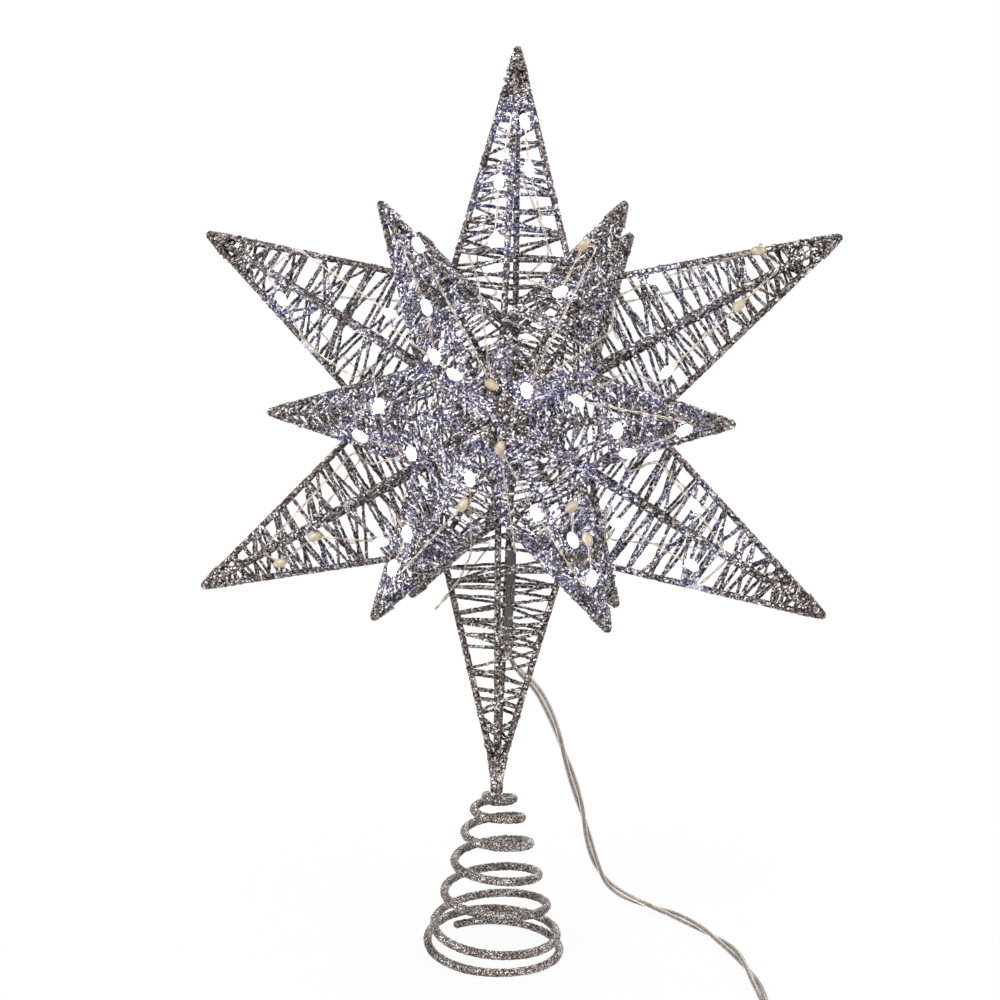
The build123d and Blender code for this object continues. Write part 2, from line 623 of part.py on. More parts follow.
CELL_WELL_L = CELL_L + CELL_BUTTON_L + CONTACT_SPRING_L + 2 * PLATE_T + 3 * CONTACT_GAP
INSIDE_W = 2 * CELL_STEP + CELL_D + 2 * CELL_HEAD
CASE_L = 2 * CASE_WALL + CELL_WELL_L + DIVIDER_T + BAY_L
CASE_W = INSIDE_W + 2 * CASE_WALL
CASE_H = CASE_WALL + CELL_LIFT + CELL_D + CELL_HEAD + DECK_T
DECK_Z = CASE_H - DECK_T
WELL_X = (-CASE_L / 2 + CASE_WALL, -CASE_L / 2 + CASE_WALL + CELL_WELL_L)
BAY_X = CASE_L / 2 - CASE_WALL - BAY_L / 2
CELL_Z = CASE_WALL + CELL_LIFT + CELL_D / 2
CELL_ROWS = [(-CELL_STEP, 1), (0.0, -1), (CELL_STEP, 1)]     # place across the case, and which way the button points
CASE_PLACE = Pos(*CASE_AT, 0)
GROMMET_END = np.array([CASE_AT[0] + BAY_X, CASE_AT[1] + CASE_W / 2 + GROMMET_FLANGE_T + GROMMET_L, GROMMET_Z])


def block(low, high):
    size = [b - a for a, b in zip(low, high)]
    return Pos(*low) * Box(*size, align=(Align.MIN, Align.MIN, Align.MIN))


def lid_bar(clear, end_x):
    """The dovetail shape of the lid's slot from the open end to a place along the case; clear makes it the lid."""
    half = INSIDE_W / 2 - clear
    foot = DECK_Z + clear / 2
    outline = Polyline((-half - LID_SLOPE, foot), (half + LID_SLOPE, foot), (half, CASE_H), (-half, CASE_H), close=True)
    start = Plane((-CASE_L / 2, 0, 0), x_dir=(0, 1, 0), z_dir=(1, 0, 0))
    return extrude(start * make_face(outline), end_x + CASE_L / 2)


def battery_case():
    shell = block((-CASE_L / 2, -CASE_W / 2, 0), (CASE_L / 2, CASE_W / 2, CASE_H))
    shell = fillet(shell.edges().filter_by(Axis.Z), CASE_ROUND)
    shell = chamfer(shell.faces().sort_by(Axis.Z)[0].edges(), CASE_WALL / 3)
    half = INSIDE_W / 2
    shell -= block((WELL_X[0], -half, CASE_WALL), (WELL_X[1], half, CASE_H))
    shell -= block((BAY_X - BAY_L / 2, -half, CASE_WALL), (BAY_X + BAY_L / 2, half, DECK_Z))
    shell -= lid_bar(0, WELL_X[1])
    slot = (KNOB_STEM + 2 * SLIDE_CLEAR, KNOB_STEM + SWITCH_TRAVEL + 2 * SLIDE_CLEAR)
    shell -= Pos(BAY_X, 0, CASE_H) * Box(*slot, 4 * DECK_T)
    shell -= Pos(BAY_X, CASE_W / 2, GROMMET_Z) * Rot(90, 0, 0) * Cylinder(GROMMET_D / 2 + GROMMET_FIT, 4 * CASE_WALL)
    for row in (-CELL_STEP / 2, CELL_STEP / 2):
        start, end = WELL_X[0] + 3 * CONTACT_SPRING_L, WELL_X[1] - 3 * CONTACT_SPRING_L
        shell += block((start, row - CRADLE_T / 2, CASE_WALL), (end, row + CRADLE_T / 2, CASE_WALL + CRADLE_H))
    for side in (-1, 1):
        post_y = side * (BOARD_W / 2 - POST_W)
        low = (BAY_X - BAY_L / 2, post_y - POST_W / 2, CASE_WALL)
        shell += block(low, (BAY_X + BAY_L / 2, post_y + POST_W / 2, BOARD_Z))
    return shell.solid()


def battery_lid():
    lid = lid_bar(SLIDE_CLEAR, WELL_X[1] - SLIDE_CLEAR)
    for k in range(RIDGES):
        ridge_x = -CASE_L / 2 + 3 * RIDGE_STEP + k * RIDGE_STEP
        lid += Pos(ridge_x, 0, CASE_H) * Box(*RIDGE[:2], 2 * RIDGE[2])
    return lid.solid()


def battery_cells():
    cells = []
    for row, way in CELL_ROWS:
        body = Cylinder(CELL_D / 2, CELL_L)
        body = chamfer(body.edges().filter_by(GeomType.CIRCLE), 0.4)
        body += Pos(0, 0, CELL_L / 2 + CELL_BUTTON_L / 2) * Cylinder(CELL_BUTTON_D / 2, CELL_BUTTON_L)
        spare = CONTACT_SPRING_L - CELL_BUTTON_L + CONTACT_GAP
        middle = sum(WELL_X) / 2 + way * spare / 2
        cells.append((CASE_PLACE * Pos(middle, row, CELL_Z) * Rot(0, 90 * way, 0) * body).solid())
    return Compound(children=cells)


def contact_springs():
    springs = []
    reach = CONTACT_SPRING_L - CONTACT_SPRING_WIRE
    profile = [(t, CONTACT_SPRING_R[0] + (CONTACT_SPRING_R[1] - CONTACT_SPRING_R[0]) * t / CONTACT_SPRING_TURNS,
                CONTACT_SPRING_WIRE / 2 + CONTACT_GAP / 2 + reach * t / CONTACT_SPRING_TURNS)
               for t in range(CONTACT_SPRING_TURNS + 1)]
    for row, way in CELL_ROWS:
        wall = WELL_X[0] + PLATE_T if way > 0 else WELL_X[1] - PLATE_T
        wire, gap = coil(profile, CONTACT_SPRING_WIRE, CASE_PLACE * Pos(wall, row, CELL_Z) * Rot(0, 90 * way, 0))
        springs.append(wire)
    print(f"contact springs: least gap to themselves {gap:.2f} mm")
    return Compound(children=springs)


def contact_plates():
    """Two plates at each end: one pair of cells is joined at each, and the third takes the wire."""
    spans = {WELL_X[0]: [(0, 0), (1, 2)], WELL_X[1] - PLATE_T: [(0, 1), (2, 2)]}
    plates = []
    for wall, pairs in spans.items():
        for first, last in pairs:
            low = (wall, CELL_ROWS[first][0] - PLATE_W / 2, CELL_Z - PLATE_H / 2)
            high = (wall + PLATE_T, CELL_ROWS[last][0] + PLATE_W / 2, CELL_Z + PLATE_H / 2)
            plates.append((CASE_PLACE * block(low, high)).solid())
    return Compound(children=plates)


def control_board():
    half_l, half_w = BAY_L / 2 - BOARD_CLEAR, BOARD_W / 2
    return CASE_PLACE * block((BAY_X - half_l, -half_w, BOARD_Z), (BAY_X + half_l, half_w, BOARD_Z + BOARD_T))


SWITCH_TOP = DECK_Z - SLIDE_CLEAR


def switch_body():
    low = (BAY_X - SWITCH_W / 2, -SWITCH_L / 2, BOARD_Z + BOARD_T)
    return CASE_PLACE * block(low, (BAY_X + SWITCH_W / 2, SWITCH_L / 2, SWITCH_TOP))


def switch_knob():
    """The slider's cap on the deck, with its stem down through the slot, at the end of its travel where it is on."""
    on_y = SWITCH_TRAVEL / 2
    foot = CASE_H + SLIDE_CLEAR / 2
    cap = block((BAY_X - KNOB_W / 2, on_y - KNOB_L / 2, foot), (BAY_X + KNOB_W / 2, on_y + KNOB_L / 2, foot + KNOB_RISE))
    cap = chamfer(cap.faces().sort_by(Axis.Z)[-1].edges(), KNOB_RISE / 4)
    half = KNOB_STEM / 2
    stem_low = (BAY_X - half, on_y - half, SWITCH_TOP + SLIDE_CLEAR / 2)
    return (CASE_PLACE * (cap + block(stem_low, (BAY_X + half, on_y + half, foot + KNOB_RISE / 2)))).solid()


def lead_grommet():
    """A bush through the case wall, with a flange outside and a tapered tail that the lead comes out of."""
    wall = CASE_W / 2
    tail = wall + GROMMET_FLANGE_T + GROMMET_L
    outline = Polyline(
        (0, wall - CASE_WALL), (GROMMET_D / 2, wall - CASE_WALL), (GROMMET_D / 2, wall), (GROMMET_FLANGE_D / 2, wall),
        (GROMMET_FLANGE_D / 2, wall + GROMMET_FLANGE_T), (GROMMET_D / 2, wall + GROMMET_FLANGE_T),
        (LEAD_D / 2 + 0.3, tail), (0, tail), close=True)
    return (CASE_PLACE * Pos(BAY_X, 0, GROMMET_Z) * revolve(make_face(outline), Axis.Y)).solid()


def save(name, shape):
    export_step(shape, f"parts/{name}.step")


os.makedirs("parts", exist_ok=True)
for hour, point in BIG.items():
    save(f"point_{hour}_frame", big_frame(point))
    gap = LEAD_GAP if hour == 6 else 0.0
    path = point.winding_path(BIG_LOOPS, wound_from(point, BIG_TIP_L), 1, WIND_EASE, LEAD_GAP_AT, gap)
    save(f"point_{hour}_winding", faceted_tube(path, point.thread_r))
print(f"large winding: least gap to itself {self_gap(path, 2 * point.thread_r, 12):.2f} mm")
for face_name, points in (("front", FRONT), ("rear", REAR)):
    for hour, point in points.items():
        save(f"{face_name}_{hour}_frame", small_frame(point))
        start = wound_from(point, small_tip_length(point))
        path = point.winding_path(SMALL_LOOPS, start, SMALL_WOUND_END)
        save(f"{face_name}_{hour}_winding", faceted_tube(path, point.thread_r))
    save(f"{face_name}_tips", Compound(children=[wound_tip(p, small_tip_length(p)) for p in points.values()]))
print(f"small winding: least gap to itself {self_gap(path, 2 * point.thread_r, 8):.2f} mm")
save("point_tips", Compound(children=[wound_tip(p, BIG_TIP_L) for hour, p in BIG.items() if hour != 6]))
for face_name, face in (("front", 1), ("rear", -1)):
    path = centre_web(face)
    save(f"{face_name}_web", faceted_tube(path, 0.6 * SMALL_THREAD_D))
print(f"web: least gap to itself {self_gap(path, 1.2 * SMALL_THREAD_D, 8):.2f} mm")
save("front_knot", knot(1))
save("rear_knot", knot(-1))
save("stem_binding", stem())
save("spring_foot", spring_foot())

stops = light_string()
spots = np.array([spot for spot, lit in stops])
for kind, name in ((True, "lit_drops"), (False, "unlit_drops")):
    drops = [resin_drop(spots[i], spots[i + 1] - spots[i - 1]) for i, (_, lit) in enumerate(stops) if lit is kind]
    save(name, Compound(children=drops))
save("fairy_wire", faceted_tube(spots, FINE_WIRE_D / 2))
save("splice_sleeve", rod(SLEEVE_ENDS[0], SLEEVE_ENDS[1], SLEEVE_D))
out = unit(SLEEVE_ENDS[0] - SLEEVE_ENDS[1])
hand_over = (np.array(LEAD_HANGING[-1]) + np.array(LEAD_LYING[0])) / 2
save("lead_hanging", lead_tube("lead_hanging", [SLEEVE_ENDS[0], SLEEVE_ENDS[0] + LEAD_EXIT * out, *LEAD_HANGING, hand_over]))
into_grommet = GROMMET_END + (0, GROMMET_L, 0)
save("lead_lying", lead_tube("lead_lying", [hand_over, *LEAD_LYING, into_grommet, GROMMET_END]))
save("battery_case", CASE_PLACE * battery_case())
save("battery_lid", CASE_PLACE * battery_lid())
save("battery_cells", battery_cells())
save("contact_springs", contact_springs())
save("contact_plates", contact_plates())
save("control_board", control_board())
save("switch_body", switch_body())
save("switch_knob", switch_knob())
save("lead_grommet", lead_grommet())
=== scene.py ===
import math

import bpy
import numpy as np
from mathutils import Matrix, Vector


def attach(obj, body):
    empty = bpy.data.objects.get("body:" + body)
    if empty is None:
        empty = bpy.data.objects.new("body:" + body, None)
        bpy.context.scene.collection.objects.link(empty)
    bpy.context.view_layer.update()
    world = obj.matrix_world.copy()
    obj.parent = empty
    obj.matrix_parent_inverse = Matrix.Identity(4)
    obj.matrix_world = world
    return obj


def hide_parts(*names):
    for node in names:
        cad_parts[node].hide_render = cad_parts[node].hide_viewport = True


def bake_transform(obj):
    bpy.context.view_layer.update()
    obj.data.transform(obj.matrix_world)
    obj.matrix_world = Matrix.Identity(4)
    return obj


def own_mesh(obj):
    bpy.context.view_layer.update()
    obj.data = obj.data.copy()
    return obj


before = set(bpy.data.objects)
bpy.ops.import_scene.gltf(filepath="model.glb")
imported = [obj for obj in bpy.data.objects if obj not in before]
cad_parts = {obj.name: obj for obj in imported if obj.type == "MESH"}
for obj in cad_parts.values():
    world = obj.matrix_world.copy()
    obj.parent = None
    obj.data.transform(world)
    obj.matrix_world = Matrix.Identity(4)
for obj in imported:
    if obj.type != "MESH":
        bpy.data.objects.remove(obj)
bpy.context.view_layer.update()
rng = np.random.default_rng(12)

# Glittered wire star on a conical spring foot, with a light string, a clear lead and a battery box.
# Lengths are millimetres until a mesh is made; +Z is up and the star faces -Y.

# Star frame
STAR_CENTRE_Z = 182.5
BIG_TIP_R = 123.7
VALLEY_R = 50.0
SIDE_VALLEY_R = 47.0
VALLEY_LEAN = 5.0
RIB_RISE = 20.0
SMALL_TIP_R = 76.0
UPPER_TIP_R = 77.6
SIDE_TIP_R = 74.3
SMALL_TIP_DEPTH = 28.5
SMALL_VALLEY_R = 31.0
WIRE_D = 2.2
SMALL_WIRE_D = 2.0
KNOT_R = 4.4
KNOT_LIP = 0.7
WIRE_GAP = 0.5
SEAT_GAP = 0.2
TIP_END_R = 1.0
TIP_SKIN = 0.3
SMALL_RIB_RISE = RIB_RISE + (WIRE_D + SMALL_WIRE_D) / 2 + SEAT_GAP * 2
UNDER_FOOT_W = WIRE_D / 2 + SEAT_GAP
BIG_TIP_L = (WIRE_D + WIRE_GAP) / 2 * BIG_TIP_R / RIB_RISE

# Rods and wound tips
ROD_START = 0.6
ROD_OVERLAP = 0.5
TIP_STEP = 0.3
TIP_SIDES = 22
TIP_RIDGE = 0.12
TIP_PITCH = 1.15
TIP_GRAIN = 0.08
TIP_ROUNDING = (0.86, 0.14)
KNOT_RINGS = 12
KNOT_FALL = 0.97

# Windings: spans are shares of the way from the tip; a thread is its radius and how uneven its loops are
THREAD_R = 0.6
SMALL_THREAD_R = 0.45
THREAD_CLEAR = 0.25
THREAD_HUG = 0.3
THREAD_LEAN_LEAST = 0.6
THREAD_STEP = 0.62
THREAD_SIDES = 6
THREAD_GRAIN = 0.24
THREAD_WANDER = [(0.25, 5), (0.7, 14)]
BIG_LOOPS = 14
BIG_THREAD = (0.58, 0.28)
WIND_EASE = 1.3
TIP_LOOPS = {12: 7, 10: 2, 8: 3, 4: 3, 2: 3}
TIP_THREAD = (0.48, 0.3)
TIP_WOUND = 0.19
EXTRA_LOOPS = {10: 4, 8: 8, 4: 8, 2: 8}
EXTRA_THREAD = (0.52, 0.3)
UPRIGHT_LOOPS = 5
UPRIGHT_THREAD = (0.5, 0.25)
UPRIGHT_WOUND = 0.48
FAN_LOOPS = 5
FAN_THREAD = (0.54, 0.2)
FAN_SPAN = (0.98, 1.3)
FOOT_STEP = 4.5
SMALL_LOOPS = 14
SMALL_THREAD = (0.46, 0.4)
SMALL_WOUND_END = 0.97
SMALL_TIP_LOOPS = 5
SMALL_TIP_THREAD = (0.43, 0.8)
SMALL_TIP_WOUND_END = 0.95
PART_REACH = 0.04
LEAD_GAP_AT = 0.54
LEAD_GAP = 0.05

# Centre webs
WEB_THREAD_R = 0.46
WEB_STEP = 0.74
WEB_HALF_OVER_BIG = 0.3
WEB_LOOPS = 7
WEB_SPAN = (6.3, 29.5)
WEB_UNEVEN = 0.6
WEB_WANDERERS = 1
WANDER_STOPS = 70
WANDER_STEPS = [1, 1, 2, 2, -1]
WEB_SPOKES = {1: 7, -1: 1}
SPOKE_STOPS = 60
SPOKE_INSIDE = (2.5, 8.0)
SPOKE_OUTSIDE = (14.0, 30.0)

# Spring foot: turn, radius and height of the wire's middle
SPRING_WIRE_R = 1.4
SPRING_TOP_Z = 53.6
FOOT_Z = 0.9
SPRING_PROFILE = [
    (-0.55, 3.2, SPRING_TOP_Z), (0.0, 5.9, 52.4), (1.0, 9.0, 45.3), (2.0, 12.1, 36.5), (3.0, 15.3, 25.6),
    (4.0, 18.4, 15.0), (4.5, 20.2, 9.2), (4.75, 20.8, 6.2), (5.0, 22.3, 5.7), (5.25, 22.6, 5.2),
    (5.4, 22.7, 4.6), (5.5, 22.8, 3.2), (5.66, 21.2, FOOT_Z), (5.75, 19.0, FOOT_Z), (5.98, 24.4, FOOT_Z),
    (6.13, 22.4, FOOT_Z), (6.25, 20.8, FOOT_Z), (6.38, 21.4, FOOT_Z),
]
SPRING_POINTS = 900
SPRING_EASE = 0.12
SPRING_LEAN = 0.75
LEAN_TURNS = (0.0, 4.8)
LEAN_FADES = (0.5, 0.6)
STEM_R = 2.15
STEM_SEAT = 0.3

# Light string
DROP_R = 1.6
DROP_L = 5.0
DROP_RINGS = 11
DROP_CLOSED = 0.96
LIT_SIZE = 1.14
FAINT = 0.08
LIT_STRENGTH = 4.5
SEEN_STRENGTH = 1.7
STRING_UPRIGHT = (0.31, 0.87, 0.38)
FINE_OFFSET = 0.26
FINE_R = 0.16
FINE_TWIST = 14.0
FINE_EXIT = 3.0
LIE_CLEAR = 0.2
FINE_WAY_OUT = [(40.0, 5.5, 0.0), (40.5, 5.5, 17.0)]
BASE_STATION = (0.95, 0.6)
EDGE_STATION = 0.72
FOOT_STATION = 0.8
TURN_BEYOND = 0.04
TURN_WITHOUT_DROPS = 0.5

# Sleeve: the last four are shares of its radius, then of its length
SLEEVE_R = 1.65
SLEEVE_SPAN = (76.0, 44.0)
SLEEVE_TURN = 35.0
SLEEVE_CLEAR = 0.15
SLEEVE_BODY = 0.96
SLEEVE_NECK = (0.28, 0.05)
SLEEVE_RIPPLE = (0.07, 19)
SLEEVE_JOINT = (0.1, 0.55, 0.06)

# Drops by hour and side of the rib: shares along from the tip and across from the rib, and lit or not
CCW, CW = 1, -1
FRONT_DROPS = {
    5: {CCW: [(0.35, 0.31, True), (0.58, 0.66, False), (0.62, 0.2, True), (0.81, 0.5, False)],
        CW: [(0.88, 0.08, True), (1.36, 0.08, False)]},
    4: {CCW: [(0.72, 0.42, True)], CW: [(0.53, 0.84, FAINT), (0.6, 0.38, True), (0.95, 0.28, True)]},
    3: {CCW: [(1.02, 0.28, True)], CW: [(0.32, 0.14, True), (0.68, 0.78, True), (0.75, 0.1, True)]},
    2: {CCW: [(0.34, 0.72, False), (0.76, 0.7, True)], CW: [(0.52, 0.2, False), (0.9, 0.5, True)]},
    1: {CCW: [(0.35, 0.44, False), (0.66, 0.12, True)], CW: [(1.28, 0.1, True)]},
    12: {CCW: [(0.64, 0.1, True), (0.9, 0.1, True)], CW: [(0.37, 0.24, True), (0.58, 0.33, True)]},
    11: {CCW: [(0.72, 0.08, True), (1.0, 0.42, True), (1.16, 0.2, True)],
         CW: [(0.36, 0.5, True), (1.33, 0.1, False)]},
    10: {CCW: [(0.49, 0.28, True), (0.69, 0.8, FAINT)], CW: [(0.42, 0.9, FAINT), (0.95, 0.32, True)]},
    9: {CCW: [(0.64, 0.54, True), (0.98, 0.68, True)], CW: [(0.77, 0.1, True)]},
    8: {CCW: [(0.42, 0.39, False), (0.63, 0.15, False), (0.87, 0.62, True)], CW: []},
    7: {CCW: [(0.95, 0.26, False), (1.12, 0.08, True)], CW: [(0.37, 0.2, True), (0.6, 0.34, True)]},
}
REAR_DROPS = {"big": [(0.55, 0.4, True)], "small": [(0.5, 0.3, True)]}
# Painted light from the lit drops on the glitter round them: reaches and shares of a near halo and a wide
# spread, which also gives a painted blue light.
HALO_REACH = 3.0
WIDE_LIGHT_REACH = 11.5
HALO_LIGHT = 0.35
WIDE_LIGHT_SHARE = 0.12

# Lead: the points of its route after the sleeve
LEAD_Z = 1.8
LEAD_EXIT = 4.0
LEAD_ROUTE = [
    (3.6, 4.6, 98.9), (7.0, 5.6, 95.2), (10.6, 6.8, 91.7), (13.6, 8.2, 87.4), (17.8, 10.4, 78.6),
    (22.3, 13.6, 64.6), (25.2, 21.2, 53.0), (28.1, 29.0, 39.8), (30.2, 36.0, 27.6), (32.4, 41.0, 18.6),
    (35.2, 44.8, 11.6), (39.2, 47.0, 6.6), (45.2, 47.6, 3.2), (52.6, 45.3, LEAD_Z), (63.1, 38.5, LEAD_Z),
    (77.4, 21.4, LEAD_Z), (84.8, 6.1, LEAD_Z), (88.9, -12.6, LEAD_Z), (91.0, -29.5, LEAD_Z),
    (93.8, -46.0, LEAD_Z), (98.6, -60.0, 2.8), (100.95, -70.9, 4.6), (100.95, -78.9, 4.6),
]
LEAD_STRAND_R = 0.82
LEAD_CORE_R = 0.27
LEAD_TWIST = 67.0
LEAD_UPRIGHT = (0.0, 0.6, 0.8)

# Battery box
CASE_AT = (72.0, -113.0)
CASE_TOP = 19.15
CELL_R = 7.1
CELL_L = 49.2
CELL_STEP = 14.8
CELL_Z = 9.25
CELL_SHIFT = -5.1
CELL_STAGGER = 2.05
CELL_SIDES = 32
CELL_PROFILE = [
    (0, 0.6), (0.05, 0.9), (0.5, 0.985), (0.9, 1.0), (CELL_L - 1.4, 1.0), (CELL_L - 0.7, 0.985),
    (CELL_L - 0.2, 0.93), (CELL_L - 0.1, 0.9), (CELL_L, 0.4), (CELL_L + 0.7, 0.38), (CELL_L + 1.05, 0.33),
]
ARROW = [(-6.0, 0), (0, -4.0), (0, 4.0)]
ARROW_SHIFT = -9.0
ARROW_LAYERS = [(1.0, -0.2), (1.0, 0.3), (0.86, 0.45)]

# Hours of the points and their angles
BIG_HOURS = {12: 90, 10: 150, 8: 210, 6: 270, 4: 330, 2: 30}
SMALL_HOURS = {11: 120, 9: 180, 7: 240, 5: 300, 3: 0, 1: 60}
HALF_STEP = 30

# Floor, light and camera: places of the lights in metres, the camera's in millimetres and degrees
FLOOR_PAINT = (0.9, 0.9, 0.9, 1)
FLOOR_FADE = (0.06, 0.22)
FLOOR_WHITE_NEAR = 0.92
SKY_LIGHT = (0.5, 0.5, 0.51, 1)
SKY_SEEN = (1, 1, 1, 1)
LIGHT_TARGET = (0, 0, 0.18)
SOFTBOXES = {
    "key": ((-0.55, -0.8, 0.75), 0.6, 7.0),
    "fill": ((0.8, -0.6, 0.4), 0.6, 3.5),
    "back": ((0.2, 0.8, 0.7), 0.7, 4.5),
}
CAMERA_AT = (54.8916, -397.1711, 176.974)
CAMERA_TURN = (8.10271, -3.09986, -1.63796)
CAMERA_LENS = 42.70609
CAMERA_SENSOR = 36.0


def unit(v):
    v = np.asarray(v, float)
    return v / np.linalg.norm(v, axis=-1, keepdims=True)


def star_place(angle, local, face=1):
    """From the middle of the star: u outwards at an angle, v along the rim, w out of its face."""
    a = np.radians(angle)
    u, v, w = local
    x = u * np.cos(a) - v * np.sin(a)
    z = STAR_CENTRE_Z + u * np.sin(a) + v * np.cos(a)
    return np.stack(np.broadcast_arrays(x, -face * np.asarray(w, float), z), -1)


class Arm:
    """A pointed arm: four straight wires that meet at its tip, front one first, then round it."""

    def __init__(self, angle, face, tip, feet, rungs, wire_d, thread_r):
        self.angle = angle
        self.tip = star_place(angle, tip, face)
        self.feet = np.array([star_place(angle, p, face) for p in feet])
        self.rungs = np.array([star_place(angle, p, face) for p in rungs])
        self.wire_d = wire_d
        self.thread_r = thread_r
        self.thread_off = wire_d / 2 + THREAD_CLEAR + thread_r
        self.axis = unit(self.tip - self.feet.mean(axis=0))

    def wire_at(self, k, t):
        """Straight from the tip: tip plus a share t of the way to the last rung of wire k."""
        return self.tip + np.asarray(t)[..., None] * (self.rungs[np.asarray(k) % 4] - self.tip)

    def wire_ends(self):
        """How far each wire goes, in the same shares."""
        return np.linalg.norm(self.feet - self.tip, axis=1) / np.linalg.norm(self.rungs - self.tip, axis=1)

    def side_normal(self, k):
        """The cross product of two neighbouring wires, turned to point away from the other two."""
        here, after, opposite, before = (self.rungs[(k + i) % 4] for i in range(4))
        normal = unit(np.cross(here - self.tip, after - self.tip))
        inner = opposite + before - here - after
        return normal if normal @ inner < 0 else -normal

    def height(self, radius):
        return self.thread_off + self.thread_r + LIE_CLEAR + radius

    def on_side(self, k, t, across, radius):
        """A share across from wire k to the next, lifted along the side's normal."""
        flat = self.wire_at(k, t) + across * (self.wire_at(k + 1, t) - self.wire_at(k, t))
        return flat + self.height(radius) * self.side_normal(k)

    def over_wire(self, k, t, radius):
        """Over wire k, along the mean of the two normals beside it."""
        before, after = self.side_normal(k - 1), self.side_normal(k)
        out = unit(before + after)
        return self.wire_at(k, t) + out * self.height(radius) / (out @ after)


def valley(halfway):
    """Angle and radius of a valley; the four beside the upright points lean towards them."""
    lean = {0: 0, 60: 1, 120: -1}[halfway % 180]
    return halfway + lean * VALLEY_LEAN, VALLEY_R if lean else SIDE_VALLEY_R


def valley_from(angle, halfway):
    """A valley's place seen from an arm: how far out along it and how far across."""
    at, radius = valley(halfway)
    turn = math.radians(at - angle)
    return radius * math.cos(turn), radius * math.sin(turn)


def last_loop_u(angle):
    """How far out the last loop of an arm is: a step past the farther of its valleys."""
    return max(valley_from(angle, angle + side * HALF_STEP)[0] for side in (-1, 1)) + FOOT_STEP


def big_arm(angle):
    """Edges go to the valleys and ribs to the knots; the rungs are where the last loop crosses them."""
    corners = [valley_from(angle, angle + side * HALF_STEP) for side in (1, -1)]
    end = last_loop_u(angle)
    rise = RIB_RISE * (1 - end / BIG_TIP_R)
    rims = [v * (BIG_TIP_R - end) / (BIG_TIP_R - u) for u, v in corners]
    rungs = [(end, 0, rise), (end, rims[0], 0), (end, 0, -rise), (end, rims[1], 0)]
    knot_rise = RIB_RISE * (1 - KNOT_R / BIG_TIP_R)
    feet = [(KNOT_R, 0, knot_rise), (*corners[0], 0), (KNOT_R, 0, -knot_rise), (*corners[1], 0)]
    return Arm(angle, 1, (BIG_TIP_R, 0, 0), feet, rungs, WIRE_D, THREAD_R)


def small_arm(angle, face):
    """Its reach goes by whether it is above, beside or below the middle of the star."""
    upward = math.sin(math.radians(angle))
    reach_r = SIDE_TIP_R if abs(upward) < 0.5 else UPPER_TIP_R if upward > 0 else SMALL_TIP_R
    tilt = math.atan2(RIB_RISE, BIG_TIP_R)
    seat = (WIRE_D / 2 + SMALL_WIRE_D / 2 + SEAT_GAP) / math.cos(tilt)
    side_w = RIB_RISE * (1 - SMALL_VALLEY_R / BIG_TIP_R) + seat
    side_u = SMALL_VALLEY_R * math.cos(math.radians(HALF_STEP))
    side_v = SMALL_VALLEY_R * math.sin(math.radians(HALF_STEP))
    tip = np.array([reach_r, 0, SMALL_TIP_DEPTH])
    rib_w = SMALL_RIB_RISE + (SMALL_TIP_DEPTH - SMALL_RIB_RISE) * KNOT_R / reach_r
    rib_foot = np.array([KNOT_R, 0, rib_w])
    under_foot = np.array([*valley_from(angle, angle), UNDER_FOOT_W])
    feet = [rib_foot, (side_u, side_v, side_w), under_foot, (side_u, -side_v, side_w)]
    reach = (reach_r - side_u) / (reach_r - KNOT_R)
    rungs = [tip + reach * (rib_foot - tip), *feet[1:]]
    return Arm(angle, face, tip, feet, rungs, SMALL_WIRE_D, SMALL_THREAD_R)


BIG = {hour: big_arm(angle) for hour, angle in BIG_HOURS.items()}
FRONT = {hour: small_arm(angle, 1) for hour, angle in SMALL_HOURS.items()}
REAR = {hour: small_arm(angle, -1) for hour, angle in SMALL_HOURS.items()}


def small_tip_length(arm):
    """How far from the tip the rib and an edge are a wire and a gap apart."""
    rib, edge = (unit(arm.rungs[k] - arm.tip) for k in (0, 1))
    spread = np.linalg.norm(rib / (rib @ arm.axis) - edge / (edge @ arm.axis))
    return (SMALL_WIRE_D + WIRE_GAP) / spread


# Light string: the stops of the fine wire and the drops on it


def place_on_face(arm, rib, side, along, across, radius):
    """A place over a side, measured across from the rib: wire 0 in front, wire 2 behind."""
    wire = {(0, CCW): 0, (0, CW): 3, (2, CCW): 1, (2, CW): 2}[rib, side]
    return arm.on_side(wire, along, across if wire in (0, 2) else 1 - across, radius)


def stretch_on_arm(arm, small, rib, sides, drops):
    """Out along one side, over the rib and back along the other."""
    places = [along for side in sides for along, _, _ in drops[side]]
    outermost = min(places, default=TURN_WITHOUT_DROPS)
    stops = []
    for way, side in enumerate(sides):
        run = sorted(drops[side], reverse=(way == 0))
        spots = [(place_on_face(arm, rib, side, a, q, DROP_R), lit) for a, q, lit in run]
        if small:
            end = arm.over_wire(1 if side == CCW else 3, EDGE_STATION, DROP_R)
        else:
            end = place_on_face(arm, rib, side, *BASE_STATION, DROP_R)
        top = arm.over_wire(rib, outermost - TURN_BEYOND, DROP_R)
        stops += [(end, None), *spots, (top, None)] if way == 0 else [*spots, (end, None)]
    return stops


def sleeve_end(radius):
    """Inside the bottom point, beside its rear rib and turned a little round it, at a radius."""
    arm = BIG[6]
    along = (BIG_TIP_R - radius) / (BIG_TIP_R - last_loop_u(arm.angle))
    rim = np.array([1.0, 0, 0])
    inside = unit(np.cross(rim, arm.rungs[2] - arm.tip))
    turn = math.radians(SLEEVE_TURN)
    off = WIRE_D / 2 + SLEEVE_CLEAR + SLEEVE_R
    return arm.wire_at(2, along) + off * (math.cos(turn) * inside + math.sin(turn) * rim)


SLEEVE_ENDS = [sleeve_end(r) for r in SLEEVE_SPAN]


